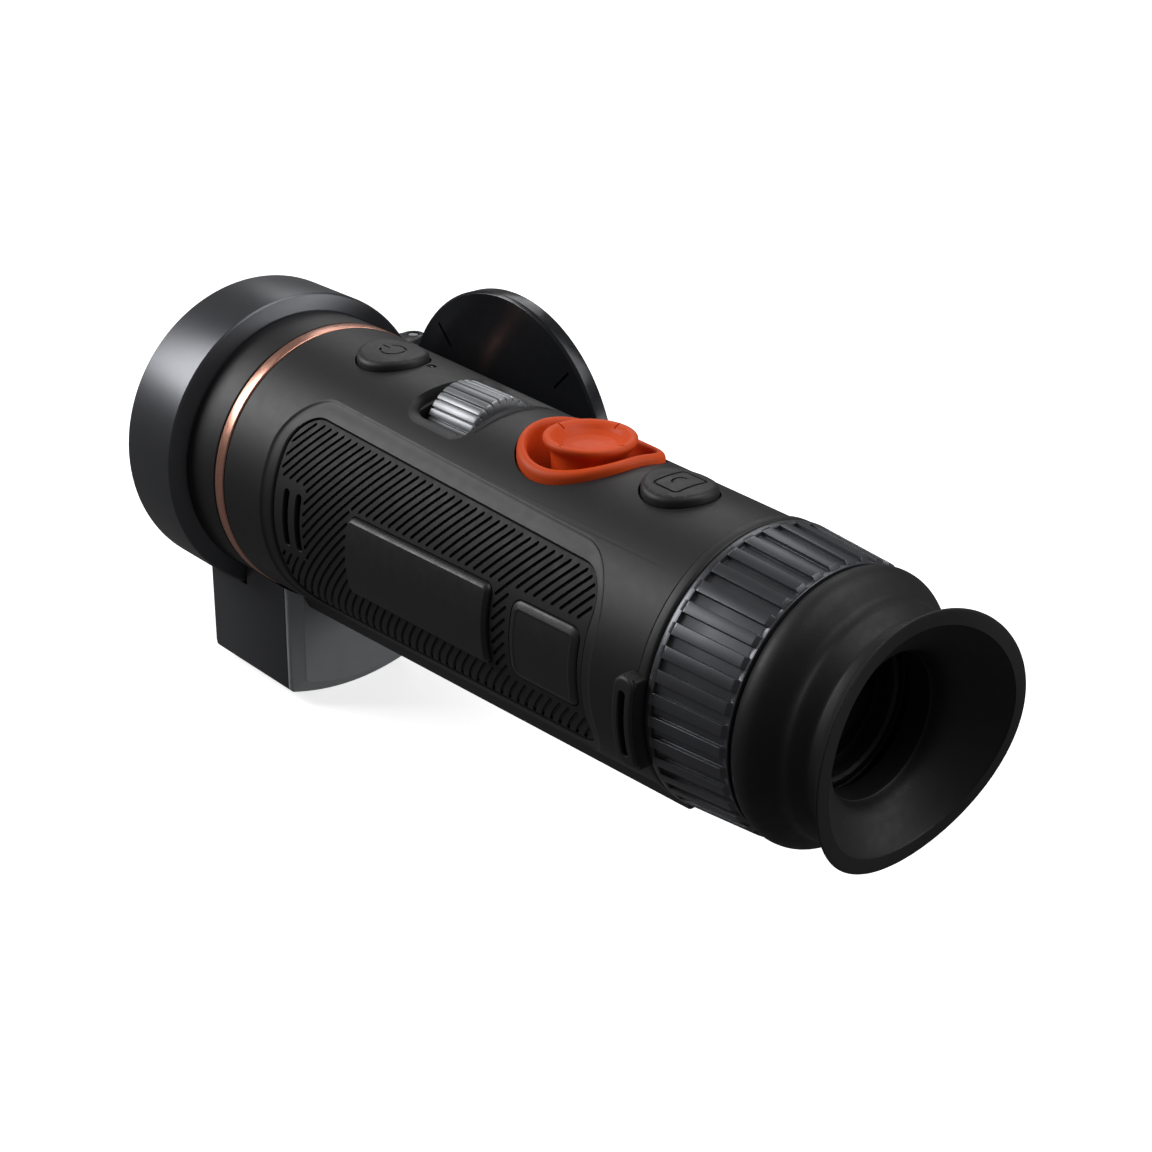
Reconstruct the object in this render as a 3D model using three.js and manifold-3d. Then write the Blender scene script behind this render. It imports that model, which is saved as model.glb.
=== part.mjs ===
// Hand-held thermal imaging monocular with a laser rangefinder, in millimetres, +Z up.
// The optical axis runs along +Y. The group's origin is the middle of the tripod pad's flat face.
import * as THREE from 'three';
import { mergeVertices } from 'three/addons/utils/BufferGeometryUtils.js';
import Module from 'manifold-3d';

const wasm = await Module();
wasm.setup();

// ---------------------------------------------------------------- driving dimensions
const GAP = 0.3; // clearance between neighbouring pieces
const ROUND = 48; // sides of a large round piece
const INNER_ROUND = 32; // sides of a large round piece inside the housing
const SMALL_ROUND = 16; // sides of a small round piece
const WELD = 1e-4;

// body tube, measured from the optical axis
const BODY_REAR_Y = -61.2;
const BODY_FRONT_Y = 65.6;
const BODY_REAR_R = 27.4;
const BODY_FRONT_R = 30.78;
const BODY_WALL = 2.6;
// two low rails under the body, from the rear end to the front end
const RAIL = { y: [-60.8, 61], foot: [-27.9, -30.6], inner: [8.6, 10.6], outer: [11.6, 13.4], sunk: 1.2 };

// front end
const ACCENT_Y = [65.9, 69];
const BARREL_Y = [69.3, 79.7];
const BARREL_R = 31;
const BARREL_BORE_R = 28.6;
const BELL_Y = [80, 99.2];
const BELL_R = 35.1;
const LENS_R = 28.5;

// tripod pad under the body: its face is the origin
const PAD = { y: 8, z: -29.4, width: 15, length: 34 };
const TRIPOD_HOLE_Y = PAD.y - 6;
const PIN_HOLE_Y = PAD.y + 8.5;
const TRIPOD_HOLE_R = 3.1;
const INSERT_R = 4.5;

// side grips
const GRIP = { rear: -46.6, front: 48.7, halfHeight: 19.85, flare: 0.041, corner: 7 };
const GRIP_FRAME = 3.6;
const GRIP_DEPTHS = { frame: 0.5, panel: 0.8, pad: 0.45, back: 1.4, recess: 1.5 };
const PLATE = { rear: -20.6, front: 22.7, halfHeight: 8.3, corner: 1.6, proud: 0.3 };
const SIDE_PAD = { rear: -45, front: -26.8, halfHeight: 8, corner: 2.4 };
const VENT = { ys: [40.2, 44.4], z: 1, length: 12.6, width: 1.6, corner: 0.7 };
const OUTSIDE_X = 40; // well clear of the body on either side

// focus wheel on top, and the gear train that it drives
const WHEEL = { y: [8.4, 22.6], z: 22.5, r: 8.7, ribs: 28 };
const WHEEL_POCKET = { y: [6, 25.5], halfWidth: 11.5, floor: 12, wall: 1.2, corner: 3 };
const SHAFT_R = 1.5;
const GEAR_MODULE = 0.75;
const PINION_TEETH = 12;
const RING_TEETH = 48;
const GEAR_Y = [58, 63];
const FOCUS_CELL_R = 15.1;

// buttons, status light and control knob
const POWER = { y: 44.9, r: 7.7, proud: 1.6, seat: 28.5 };
const PHOTO = { y: -42.7, r: 7.3, proud: 1.7, seat: 26 };
const BUTTON_PLUNGER = { r: 1.5, length: 0.5 };
const SWITCH_GAP = 0.8;
const STATUS_LED = { x: 3.3, y: 35.9, r: 0.8 };
const KNOB = { y: -17.9, rimR: 9.2, top: 31.3, stemR: 7.4, pivotZ: 17.75 };
const BEZEL = { y: -16.7, r: 13.4, opening: 11.3, corner: 8.5, proud: 1.5, foot: 19 };

// charging socket's rubber cover, under the rear of the body
const USB = { halfWidth: 5.6, y: [-46, -33.4], corner: 1.7 };

// rear end
const STRAP_RING_Y = [-63.9, -61.5];
const LUG = { y: [-63.7, -58.6], z: [-12.2, 6.6], inner: 27.85, outer: 30.9 };
const LUG_SLOT = { y: [-61.9, -60.4], z: [-9.4, 3.8] };
const DIOPTER_Y = [-82.4, -64.2];
const DIOPTER_RIBS = 40;
const SLEEVE_R = 21.7;
const CELL_R = 19.1;

// laser rangefinder below the front end
const RANGER = { halfWidth: 17.5, y: [64.6, 95.6], side: -52.6, bottom: -55, corner: 3.2, top: -22 };
const RANGER_COVER_Y = [61.6, 64.3];
const RANGER_SCREW = { x: 11, y: 70, r: 1.2, z: [-53.6, -50.6] };
const EYE_Y = 92.9; // back of the receiver and emitter lenses
const LASER_Z = -44.8;
const RECEIVER = { x: -6.2, r: 6.4 };
const EMITTER = { x: 8.6, r: 4.4 };

// flip-up lens cap on a vertical pin beside the bell
const HINGE = { x: 43.6, y: 95.6, pinR: 1.2, knuckleR: 2.8, halfHeight: 13.4, bracketHalf: 7.9 };
const CAP = { r: 35.2, back: 99.6, front: 103.6 };

const bodyRadius = (y) => {
  const share = (y - BODY_REAR_Y) / (BODY_FRONT_Y - BODY_REAR_Y);
  return BODY_REAR_R + share * (BODY_FRONT_R - BODY_REAR_R);
};

// ---------------------------------------------------------------- solids
function toSolid(geometry) {
  const bare = new THREE.BufferGeometry();
  bare.setAttribute('position', geometry.getAttribute('position'));
  if (geometry.index) bare.setIndex(geometry.index);
  const merged = mergeVertices(bare, WELD);
  const points = merged.getAttribute('position').array;
  const all = merged.index.array;
  const triangles = [];
  let volume = 0;
  const corner = [new THREE.Vector3(), new THREE.Vector3(), new THREE.Vector3()];
  for (let i = 0; i < all.length; i += 3) {
    const [a, b, c] = [all[i], all[i + 1], all[i + 2]];
    if (a === b || b === c || c === a) continue;
    triangles.push(a, b, c);
    [a, b, c].forEach((k, n) => corner[n].fromArray(points, 3 * k));
    volume += corner[0].dot(corner[1].clone().cross(corner[2]));
  }
  if (volume < 0) {
    for (let i = 0; i < triangles.length; i += 3) {
      [triangles[i + 1], triangles[i + 2]] = [triangles[i + 2], triangles[i + 1]];
    }
  }
  const mesh = new wasm.Mesh({
    numProp: 3,
    vertProperties: new Float32Array(points),
    triVerts: new Uint32Array(triangles),
  });
  return new wasm.Manifold(mesh);
}

function toGeometry(solid) {
  const mesh = solid.getMesh();
  const geometry = new THREE.BufferGeometry();
  geometry.setAttribute('position', new THREE.BufferAttribute(new Float32Array(mesh.vertProperties), 3));
  geometry.setIndex(new THREE.BufferAttribute(new Uint32Array(mesh.triVerts), 1));
  geometry.computeVertexNormals();
  return geometry;
}

const closed = (shape) => toGeometry(toSolid(shape));

function cut(shape, ...tools) {
  return toGeometry(tools.reduce((solid, tool) => solid.subtract(toSolid(tool)), toSolid(shape)));
}

function join(shape, ...others) {
  return toGeometry(others.reduce((solid, other) => solid.add(toSolid(other)), toSolid(shape)));
}

function common(shape, other) {
  return toGeometry(toSolid(shape).intersect(toSolid(other)));
}

// ---------------------------------------------------------------- shapes
// A profile of [radius, y] points turned about the optical axis.
function lathe(profile, sides = ROUND) {
  const points = profile.map(([r, y]) => new THREE.Vector2(r, y));
  if (points[0].x > 0) points.push(points[0].clone());
  return closed(new THREE.LatheGeometry(points, sides));
}

function tube(inner, outer, y, sides = ROUND) {
  return lathe([[inner, y[0]], [outer, y[0]], [outer, y[1]], [inner, y[1]]], sides);
}

function rodY(radius, y, x = 0, z = 0, sides = SMALL_ROUND) {
  const rod = new THREE.CylinderGeometry(radius, radius, y[1] - y[0], sides);
  return rod.translate(x, (y[0] + y[1]) / 2, z);
}

function rodZ(radius, z, x = 0, y = 0, sides = SMALL_ROUND) {
  const rod = new THREE.CylinderGeometry(radius, radius, z[1] - z[0], sides).rotateX(Math.PI / 2);
  return rod.translate(x, y, (z[0] + z[1]) / 2);
}

function box(x, y, z) {
  const block = new THREE.BoxGeometry(x[1] - x[0], y[1] - y[0], z[1] - z[0]);
  return block.translate((x[0] + x[1]) / 2, (y[0] + y[1]) / 2, (z[0] + z[1]) / 2);
}

// An outline in the X-Y plane raised from z[0] to z[1].
function column(outline, z, curveSegments = 4) {
  const options = { depth: z[1] - z[0], bevelEnabled: false, curveSegments };
  return new THREE.ExtrudeGeometry(outline, options).translate(0, 0, z[0]);
}

// An outline in the Y-Z plane run along X from x[0] to x[1].
function beam(outline, x, curveSegments = 3) {
  const turn = new THREE.Matrix4().makeBasis(
    new THREE.Vector3(0, 1, 0), new THREE.Vector3(0, 0, 1), new THREE.Vector3(1, 0, 0));
  return column(outline, [0, x[1] - x[0]], curveSegments).applyMatrix4(turn).translate(x[0], 0, 0);
}

// An outline in the X-Z plane run along Y from y[0] to y[1].
function rail(outline, y, curveSegments = 8) {
  const turn = new THREE.Matrix4().makeBasis(
    new THREE.Vector3(1, 0, 0), new THREE.Vector3(0, 0, 1), new THREE.Vector3(0, -1, 0));
  return column(outline, [0, y[1] - y[0]], curveSegments).applyMatrix4(turn).translate(0, y[1], 0);
}

function roundedRect(x, y, corner) {
  const shape = new THREE.Shape();
  shape.moveTo(x[0] + corner, y[0]);
  shape.lineTo(x[1] - corner, y[0]);
  shape.absarc(x[1] - corner, y[0] + corner, corner, -Math.PI / 2, 0);
  shape.lineTo(x[1], y[1] - corner);
  shape.absarc(x[1] - corner, y[1] - corner, corner, 0, Math.PI / 2);
  shape.lineTo(x[0] + corner, y[1]);
  shape.absarc(x[0] + corner, y[1] - corner, corner, Math.PI / 2, Math.PI);
  shape.lineTo(x[0], y[0] + corner);
  shape.absarc(x[0] + corner, y[0] + corner, corner, Math.PI, 1.5 * Math.PI);
  return shape;
}

// A circle with one square corner, rounded, towards +X and -Y.
function teardrop(radius, corner) {
  const shape = new THREE.Shape();
  shape.moveTo(radius, BEZEL.y);
  shape.lineTo(radius, BEZEL.y - radius + corner);
  shape.absarc(radius - corner, BEZEL.y - radius + corner, corner, 0, -Math.PI / 2, true);
  shape.lineTo(0, BEZEL.y - radius);
  shape.absarc(0, BEZEL.y, radius, 1.5 * Math.PI, 0, true);
  return shape;
}

// Everything between two depths below the body's outer surface, from one end past the other.
function bodyLayer(inner, outer, y = [BODY_REAR_Y - 5, BODY_FRONT_Y + 5]) {
  return lathe([
    [bodyRadius(y[0]) + inner, y[0]],
    [bodyRadius(y[0]) + outer, y[0]],
    [bodyRadius(y[1]) + outer, y[1]],
    [bodyRadius(y[1]) + inner, y[1]],
  ]);
}

function bodyPlug(outer) {
  const y = [BODY_REAR_Y - 5, BODY_FRONT_Y + 5];
  return lathe([[0, y[0]], [bodyRadius(y[0]) + outer, y[0]], [bodyRadius(y[1]) + outer, y[1]], [0, y[1]]]);
}

// The involute curve's polar point at one radius.
function involute(baseR, radius) {
  const angle = Math.acos(Math.min(1, baseR / radius));
  return Math.tan(angle) - angle;
}

function gearShape(teeth, turnBy, boreR) {
  const pitchR = (teeth * GEAR_MODULE) / 2;
  const baseR = pitchR * Math.cos(THREE.MathUtils.degToRad(25));
  const tipR = pitchR + 0.75 * GEAR_MODULE;
  const rootR = pitchR - 1.05 * GEAR_MODULE;
  const backlash = 0.14;
  const halfAtPitch = Math.PI / (2 * teeth) - backlash / pitchR;
  const flank = [rootR, pitchR, tipR];
  const halfAngle = (r) => halfAtPitch + involute(baseR, pitchR) - involute(baseR, Math.max(r, baseR));
  const shape = new THREE.Shape();
  for (let tooth = 0; tooth < teeth; tooth += 1) {
    const middle = turnBy + (2 * Math.PI * tooth) / teeth;
    const rise = flank.map((r) => [r, middle - halfAngle(r)]);
    const fall = flank.map((r) => [r, middle + halfAngle(r)]).reverse();
    for (const [r, angle] of [...rise, ...fall]) {
      const place = [r * Math.cos(angle), r * Math.sin(angle)];
      if (shape.curves.length === 0 && shape.currentPoint.lengthSq() === 0) shape.moveTo(...place);
      else shape.lineTo(...place);
    }
  }
  shape.closePath();
  const bore = new THREE.Path();
  bore.absarc(0, 0, boreR, 0, 2 * Math.PI, true);
  shape.holes.push(bore);
  return shape;
}

// ---------------------------------------------------------------- materials
const finish = (colour, roughness, metalness = 0) =>
  new THREE.MeshStandardMaterial({ color: colour, roughness, metalness });

const MATTE_BODY = finish('#2b2b2c', 0.6, 0.1);
const GLOSS_BLACK = finish('#17181a', 0.32, 0.2);
const RUBBER = finish('#1b1b1c', 0.85);
const GREY_PLASTIC = finish('#63666a', 0.5);
const WHEEL_GREY = finish('#55585c', 0.4, 0.5);
const ORANGE = finish('#d6461a', 0.42);
const COPPER = finish('#b9705c', 0.25, 0.9);
const GERMANIUM = finish('#3a332e', 0.1, 0.6);
const GLASS = finish('#20262c', 0.05, 0.1);
const STEEL = finish('#a9acb0', 0.3, 1);
const BRASS = finish('#b08d4a', 0.35, 1);
const BOARD = finish('#1f5a3a', 0.6);
const CELL_WRAP = finish('#2f5f9a', 0.45);

const monocular = new THREE.Group();
monocular.position.set(0, -PAD.y, -PAD.z);

function place(name, shape, material) {
  const mesh = new THREE.Mesh(closed(shape), material);
  mesh.name = name;
  monocular.add(mesh);
}

// ---------------------------------------------------------------- housing
const sideX = (side) => (side < 0 ? [-OUTSIDE_X, -5] : [5, OUTSIDE_X]);

function sideOutline(panel, grow, side) {
  const y = [panel.rear - grow, panel.front + grow];
  const z = [-panel.halfHeight - grow, panel.halfHeight + grow];
  return beam(roundedRect(y, z, panel.corner + grow), sideX(side));
}

// The grip widens towards the front as the body does.
function gripOutline(grow, side) {
  const y = [GRIP.rear - grow, GRIP.front + grow];
  const half = y.map((end) => GRIP.halfHeight + GRIP.flare * end + grow);
  const corner = GRIP.corner + grow;
  const shape = new THREE.Shape();
  shape.moveTo(y[0] + corner, -half[0]);
  shape.lineTo(y[1] - corner, -half[1]);
  shape.quadraticCurveTo(y[1], -half[1], y[1], -half[1] + corner);
  shape.lineTo(y[1], half[1] - corner);
  shape.quadraticCurveTo(y[1], half[1], y[1] - corner, half[1]);
  shape.lineTo(y[0] + corner, half[0]);
  shape.quadraticCurveTo(y[0], half[0], y[0], half[0] - corner);
  shape.lineTo(y[0], -half[0] + corner);
  shape.quadraticCurveTo(y[0], -half[0], y[0] + corner, -half[0]);
  return beam(shape, sideX(side), 4);
}

function bodyShell() {
  const frameStep = bodyLayer(-GRIP_DEPTHS.frame, 3);
  const recess = bodyLayer(-GRIP_DEPTHS.recess, 3);
  const sides = [-1, 1].flatMap((side) => [
    common(gripOutline(GRIP_FRAME, side), frameStep),
    common(gripOutline(0, side), recess),
  ]);
  const { halfWidth, y, corner } = WHEEL_POCKET;
  const padHalf = PAD.width / 2 + GAP;
  const padY = [PAD.y - PAD.length / 2 - GAP, PAD.y + PAD.length / 2 + GAP];
  const flapX = [-USB.halfWidth - GAP, USB.halfWidth + GAP];
  const flapY = [USB.y[0] - GAP, USB.y[1] + GAP];
  return cut(
    bodyLayer(-BODY_WALL, 0, [BODY_REAR_Y, BODY_FRONT_Y]),
    ...sides,
    column(roundedRect([-halfWidth, halfWidth], y, corner), [5, 40]),
    column(teardrop(BEZEL.r + GAP, BEZEL.corner + GAP), [5, 40], 14),
    rodZ(POWER.r + GAP, [5, 40], 0, POWER.y, 28),
    rodZ(PHOTO.r + GAP, [5, 40], 0, PHOTO.y, 28),
    rodZ(STATUS_LED.r + GAP, [5, 40], STATUS_LED.x, STATUS_LED.y),
    column(roundedRect([-padHalf, padHalf], padY, 2 + GAP), [-40, -5]),
    column(roundedRect(flapX, flapY, USB.corner + GAP), [-40, -5]),
  );
}

function grip(side) {
  const panel = common(gripOutline(-GAP, side), bodyLayer(-GRIP_DEPTHS.back, -GRIP_DEPTHS.panel));
  const vents = VENT.ys.map((y) => {
    const halfWidth = VENT.width / 2;
    const z = [VENT.z - VENT.length / 2, VENT.z + VENT.length / 2];
    return beam(roundedRect([y - halfWidth, y + halfWidth], z, VENT.corner), sideX(side));
  });
  return cut(panel, sideOutline(PLATE, GAP, side), sideOutline(SIDE_PAD, GAP, side), ...vents);
}

function bottomRail(side) {
  const sections = RAIL.y.map((y, n) => {
    const [inner, outer, foot] = [RAIL.inner[n], RAIL.outer[n], RAIL.foot[n]];
    const under = (x) => -Math.sqrt((bodyRadius(y) - RAIL.sunk) ** 2 - x * x);
    const outline = [
      [inner, under(inner)], [inner, foot + 0.4], [inner + 0.4, foot], [outer - 0.6, foot],
      [outer + 0.2, foot + 0.4], [outer + 2.6, under(outer + 2.6)],
    ];
    const points = outline.map(([x, z]) => [side * x, y, z]);
    return side < 0 ? points.reverse() : points;
  });
  const count = sections[0].length;
  const index = [];
  for (let k = 0; k < count; k += 1) {
    const up = (k + 1) % count;
    index.push(k, count + k, count + up, k, count + up, up);
    if (k > 0 && k < count - 1) index.push(0, k, k + 1, count, count + k + 1, count + k);
  }
  const geometry = new THREE.BufferGeometry();
  geometry.setAttribute('position', new THREE.Float32BufferAttribute(sections.flat(2), 3));
  geometry.setIndex(index);
  return geometry;
}

function housing() {
  place('body_shell', join(bodyShell(), bottomRail(-1), bottomRail(1)), MATTE_BODY);
  const plateLayer = bodyLayer(-GRIP_DEPTHS.back, PLATE.proud);
  const padLayer = bodyLayer(-GRIP_DEPTHS.back, -GRIP_DEPTHS.pad);
  [['left', -1], ['right', 1]].forEach(([word, side]) => {
    place(`${word}_grip`, grip(side), RUBBER);
    place(`${word}_nameplate`, common(sideOutline(PLATE, 0, side), plateLayer), GLOSS_BLACK);
    place(`${word}_touch_pad`, common(sideOutline(SIDE_PAD, 0, side), padLayer), MATTE_BODY);
  });
}

function tripodPad() {
  const half = PAD.width / 2;
  const y = [PAD.y - PAD.length / 2, PAD.y + PAD.length / 2];
  const plate = column(roundedRect([-half, half], y, 2), [PAD.z, PAD.z + 3.6]);
  const insertHole = rodZ(INSERT_R + GAP, [-40, -20], 0, TRIPOD_HOLE_Y);
  place('tripod_plate', cut(plate, insertHole, rodZ(2.1, [-40, -20], 0, PIN_HOLE_Y)), STEEL);
  const insert = rodZ(INSERT_R, [PAD.z + 0.2, PAD.z + 4.9], 0, TRIPOD_HOLE_Y);
  place('tripod_insert', cut(insert, rodZ(TRIPOD_HOLE_R, [-40, -20], 0, TRIPOD_HOLE_Y)), BRASS);
}

function usbPort() {
  const outline = roundedRect([-USB.halfWidth, USB.halfWidth], USB.y, USB.corner);
  place('usb_cover', common(column(outline, [-40, -5]), bodyLayer(-1.5, 0)), RUBBER);
  const shell = column(roundedRect([-4.6, 4.6], [-41.7, -38.1], 1.6), [-24.4, -17.2]);
  const socket = column(roundedRect([-4.1, 4.1], [-41.2, -38.6], 1.2), [-25, -18]);
  place('usb_port', cut(shell, socket), STEEL);
}

// ---------------------------------------------------------------- front end
function frontEnd() {
  place('accent_ring', tube(BARREL_BORE_R, 30.95, ACCENT_Y), COPPER);
  place('front_barrel', tube(BARREL_BORE_R, BARREL_R, BARREL_Y), MATTE_BODY);
  const bell = lathe([
    [28.9, BELL_Y[0]],
    [BELL_R - 0.6, BELL_Y[0]],
    [BELL_R, BELL_Y[0] + 0.6],
    [BELL_R, BELL_Y[1] - 0.9],
    [BELL_R - 0.8, BELL_Y[1]],
    [32.9, BELL_Y[1]],
    [32.3, BELL_Y[1] - 0.6],
    [32.3, 95.6],
    [29.3, 91.2],
    [28.9, 91.2],
  ]);
  place('objective_bell', bell, GLOSS_BLACK);
  const lens = lathe([
    [0, 83.2], [14, 83.6], [LENS_R, 84.6], [LENS_R, 88.2], [21, 89.94], [14, 91.08], [7, 91.77], [0, 92],
  ], INNER_ROUND);
  place('objective_lens', lens, GERMANIUM);
  place('lens_retainer', tube(26.4, 28.6, [89.2, 90.8], INNER_ROUND), GLOSS_BLACK);
  const cell = lathe([
    [25.5, 82.9], [27.7, 82.9], [27.7, 64], [15.5, 64], [15.5, 66], [25.5, 66],
  ], INNER_ROUND);
  place('objective_cell', cut(cell, rodY(SHAFT_R + GAP, [60, 70], 0, WHEEL.z)), MATTE_BODY);
}

function focusDrive() {
  const ringGear = rail(gearShape(RING_TEETH, Math.PI / 2, 15.5), GEAR_Y);
  place('focus_ring', ringGear, BRASS);
  const pinionTurn = -Math.PI / 2 + Math.PI / PINION_TEETH;
  const pinion = rail(gearShape(PINION_TEETH, pinionTurn, SHAFT_R + GAP), GEAR_Y);
  place('focus_pinion', pinion.translate(0, 0, WHEEL.z), BRASS);
  place('focus_shaft', rodY(SHAFT_R, [6.7, 65.6], 0, WHEEL.z), STEEL);
  place('focus_cell', tube(12.9, FOCUS_CELL_R, [53.8, 67.5], INNER_ROUND), GLOSS_BLACK);
  place('focus_lens', lathe([[0, 59], [12.6, 59.8], [12.6, 62], [0, 64]], 24), GERMANIUM);
}

function focusWheel() {
  const outline = new THREE.Shape();
  const step = (2 * Math.PI) / WHEEL.ribs;
  for (let rib = 0; rib < WHEEL.ribs; rib += 1) {
    const root = WHEEL.r - 0.6;
    [[-0.34, WHEEL.r], [0.34, WHEEL.r], [0.4, root], [0.6, root]].forEach(([share, r], n) => {
      const angle = (rib + share) * step;
      if (rib === 0 && n === 0) outline.moveTo(r * Math.cos(angle), r * Math.sin(angle));
      else outline.lineTo(r * Math.cos(angle), r * Math.sin(angle));
    });
  }
  const bore = new THREE.Path();
  bore.absarc(0, 0, SHAFT_R + GAP, 0, 2 * Math.PI, true);
  outline.holes.push(bore);
  place('focus_wheel', rail(outline, WHEEL.y).translate(0, 0, WHEEL.z), WHEEL_GREY);

  const { halfWidth, y, floor, wall, corner } = WHEEL_POCKET;
  const outer = [halfWidth - GAP, halfWidth - GAP - wall];
  const outerY = [y[0] + GAP, y[1] - GAP];
  const innerY = [outerY[0] + wall, outerY[1] - wall];
  const tub = cut(
    column(roundedRect([-outer[0], outer[0]], outerY, corner - GAP), [floor, 40]),
    column(roundedRect([-outer[1], outer[1]], innerY, corner / 2), [floor + wall, 41]),
    rodY(SHAFT_R + GAP, [y[0] - 5, y[1] + 5], 0, WHEEL.z),
  );
  place('wheel_tub', common(tub, bodyPlug(-0.4)), MATTE_BODY);
}

// ---------------------------------------------------------------- top controls
function button(name, spec) {
  const cap = common(rodZ(spec.r, [spec.seat, 40], 0, spec.y, 28), bodyPlug(spec.proud));
  const plunger = rodZ(BUTTON_PLUNGER.r, [spec.seat - BUTTON_PLUNGER.length, spec.seat + 0.4], 0, spec.y);
  place(`${name}_button`, join(cap, plunger), MATTE_BODY);
  const switchTop = spec.seat - BUTTON_PLUNGER.length - SWITCH_GAP;
  place(`${name}_switch`, box([-3, 3], [spec.y - 3, spec.y + 3], [switchTop - 1.4, switchTop]), STEEL);
  const boardTop = switchTop - 1.4 - GAP;
  place(`${name}_board`, box([-8, 8], [spec.y - 8, spec.y + 8], [boardTop - 0.8, boardTop]), BOARD);
}

function controlKnob() {
  const ring = column(teardrop(BEZEL.r, BEZEL.corner), [BEZEL.foot, 40], 14);
  const opening = column(teardrop(BEZEL.opening, BEZEL.corner - 1), [BEZEL.foot - 1, 41], 14);
  place('knob_bezel', common(cut(ring, opening), bodyPlug(BEZEL.proud)), ORANGE);

  const base = column(teardrop(BEZEL.r - 0.2, BEZEL.corner), [KNOB.pivotZ - 0.9, KNOB.pivotZ + 0.9], 8);
  place('knob_base', cut(base, rodZ(6, [10, 25], 0, KNOB.y)), MATTE_BODY);
  const around = (inner, outer, z) => {
    const ringSolid = new THREE.LatheGeometry(
      [[inner, z[0]], [outer, z[0]], [outer, z[1]], [inner, z[1]], [inner, z[0]]]
        .map(([r, height]) => new THREE.Vector2(r, height)), SMALL_ROUND);
    return ringSolid.rotateX(Math.PI / 2).translate(0, KNOB.y, 0);
  };
  place('knob_gimbal', around(3.9, 5.6, [KNOB.pivotZ - 0.8, KNOB.pivotZ + 0.8]), STEEL);
  place('knob_rocker', around(1.7, 3.5, [KNOB.pivotZ - 1.7, KNOB.pivotZ + 2.2]), GLOSS_BLACK);

  const { rimR, stemR, top } = KNOB;
  const profile = [
    [0, 14.7], [1.3, 14.7], [1.3, 21], [stemR + 0.4, 21], [stemR - 0.1, 22.6], [stemR, 26.4],
    [rimR - 1, 28.7], [rimR - 0.3, 29.6], [rimR, 30.3], [rimR - 0.2, top - 0.2], [rimR - 0.8, top],
    [rimR - 1.9, top - 0.4], [rimR - 3.4, top - 1.7], [rimR - 6, top - 2.4], [0, top - 2.6],
  ].map(([r, z]) => new THREE.Vector2(r, z));
  const knob = new THREE.LatheGeometry(profile, 32).rotateX(Math.PI / 2).translate(0, KNOB.y, 0);
  place('control_knob', knob, ORANGE);
  place('knob_switch', box([-4, 4], [KNOB.y - 4, KNOB.y + 4], [11.8, 13.8]), STEEL);
}

function topControls() {
  button('power', POWER);
  button('photo', PHOTO);
  place('status_led', rodZ(STATUS_LED.r, [27.4, 29.8], STATUS_LED.x, STATUS_LED.y, 12), GLASS);
  controlKnob();
}

// ---------------------------------------------------------------- inside
function inside() {
  place('sensor_core', box([-15, 15], [39, 50], [-15, 15]), STEEL);
  place('shutter', box([-11, 11], [50.5, 52.6], [-11, 11]), GLOSS_BLACK);
  place('main_board', box([-20, 20], [-48, 36], [-1.2, 0.4]), BOARD);
  place('battery', rodY(9.2, [-32.5, 33.5], 0, -14, 32), CELL_WRAP);
  place('battery_contact', rodY(3, [34, 36.6], 0, -14, 12), BRASS);
  place('display', box([-9, 9], [-56, -53], [-8, 8]), GLASS);
}

// ---------------------------------------------------------------- rear end
// The strap ring carries a bar on each side, held off the body by two legs.
function strapRing() {
  const ring = tube(22, 28, STRAP_RING_Y);
  const lugs = [-1, 1].map((side) => {
    const x = side < 0 ? [-40, -5] : [5, 40];
    const outer = beam(roundedRect(LUG.y, LUG.z, 2), x);
    const slot = beam(roundedRect(LUG_SLOT.y, LUG_SLOT.z, 0.5), x);
    const plate = cut(common(outer, tube(LUG.inner, LUG.outer, [-70, -50])), slot);
    const footOutline = roundedRect([STRAP_RING_Y[0] + 0.1, STRAP_RING_Y[1] - 0.1], LUG.z, 0.4);
    const foot = common(beam(footOutline, x), tube(26.5, LUG.outer - 0.6, [-70, -50]));
    return join(plate, foot);
  });
  place('strap_ring', join(ring, ...lugs), MATTE_BODY);
}

function diopterRing() {
  const [rear, front] = DIOPTER_Y;
  const ring = lathe([
    [22.1, rear], [26.2, rear], [26.6, rear + 0.5], [28.1, front - 0.5], [27.8, front], [22.1, front],
  ], DIOPTER_RIBS);
  const grooves = [];
  for (let rib = 0; rib < DIOPTER_RIBS; rib += 1) {
    const groove = new THREE.BoxGeometry(1.1, front - rear - 2.4, 2.4);
    groove.translate(0, (rear + front) / 2 + 0.6, 28.1);
    grooves.push(groove.rotateY((2 * Math.PI * rib) / DIOPTER_RIBS));
  }
  place('diopter_ring', cut(ring, ...grooves), GLOSS_BLACK);
}

// The eyecup's lip leans outwards and saddles, so each section has its own profile.
const EYECUP = { lipR: 24.94, lipInnerR: 22.7, lipY: -102.3, sides: 40 };

function lipHeight(angle) {
  const [cos, sin] = [Math.cos(angle), Math.sin(angle)];
  const lean = -0.067 * EYECUP.lipR * cos - 0.045 * EYECUP.lipR * sin;
  return EYECUP.lipY + lean - 1.37 * Math.cos(2 * angle) - 0.43 * Math.sin(2 * angle);
}

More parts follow.
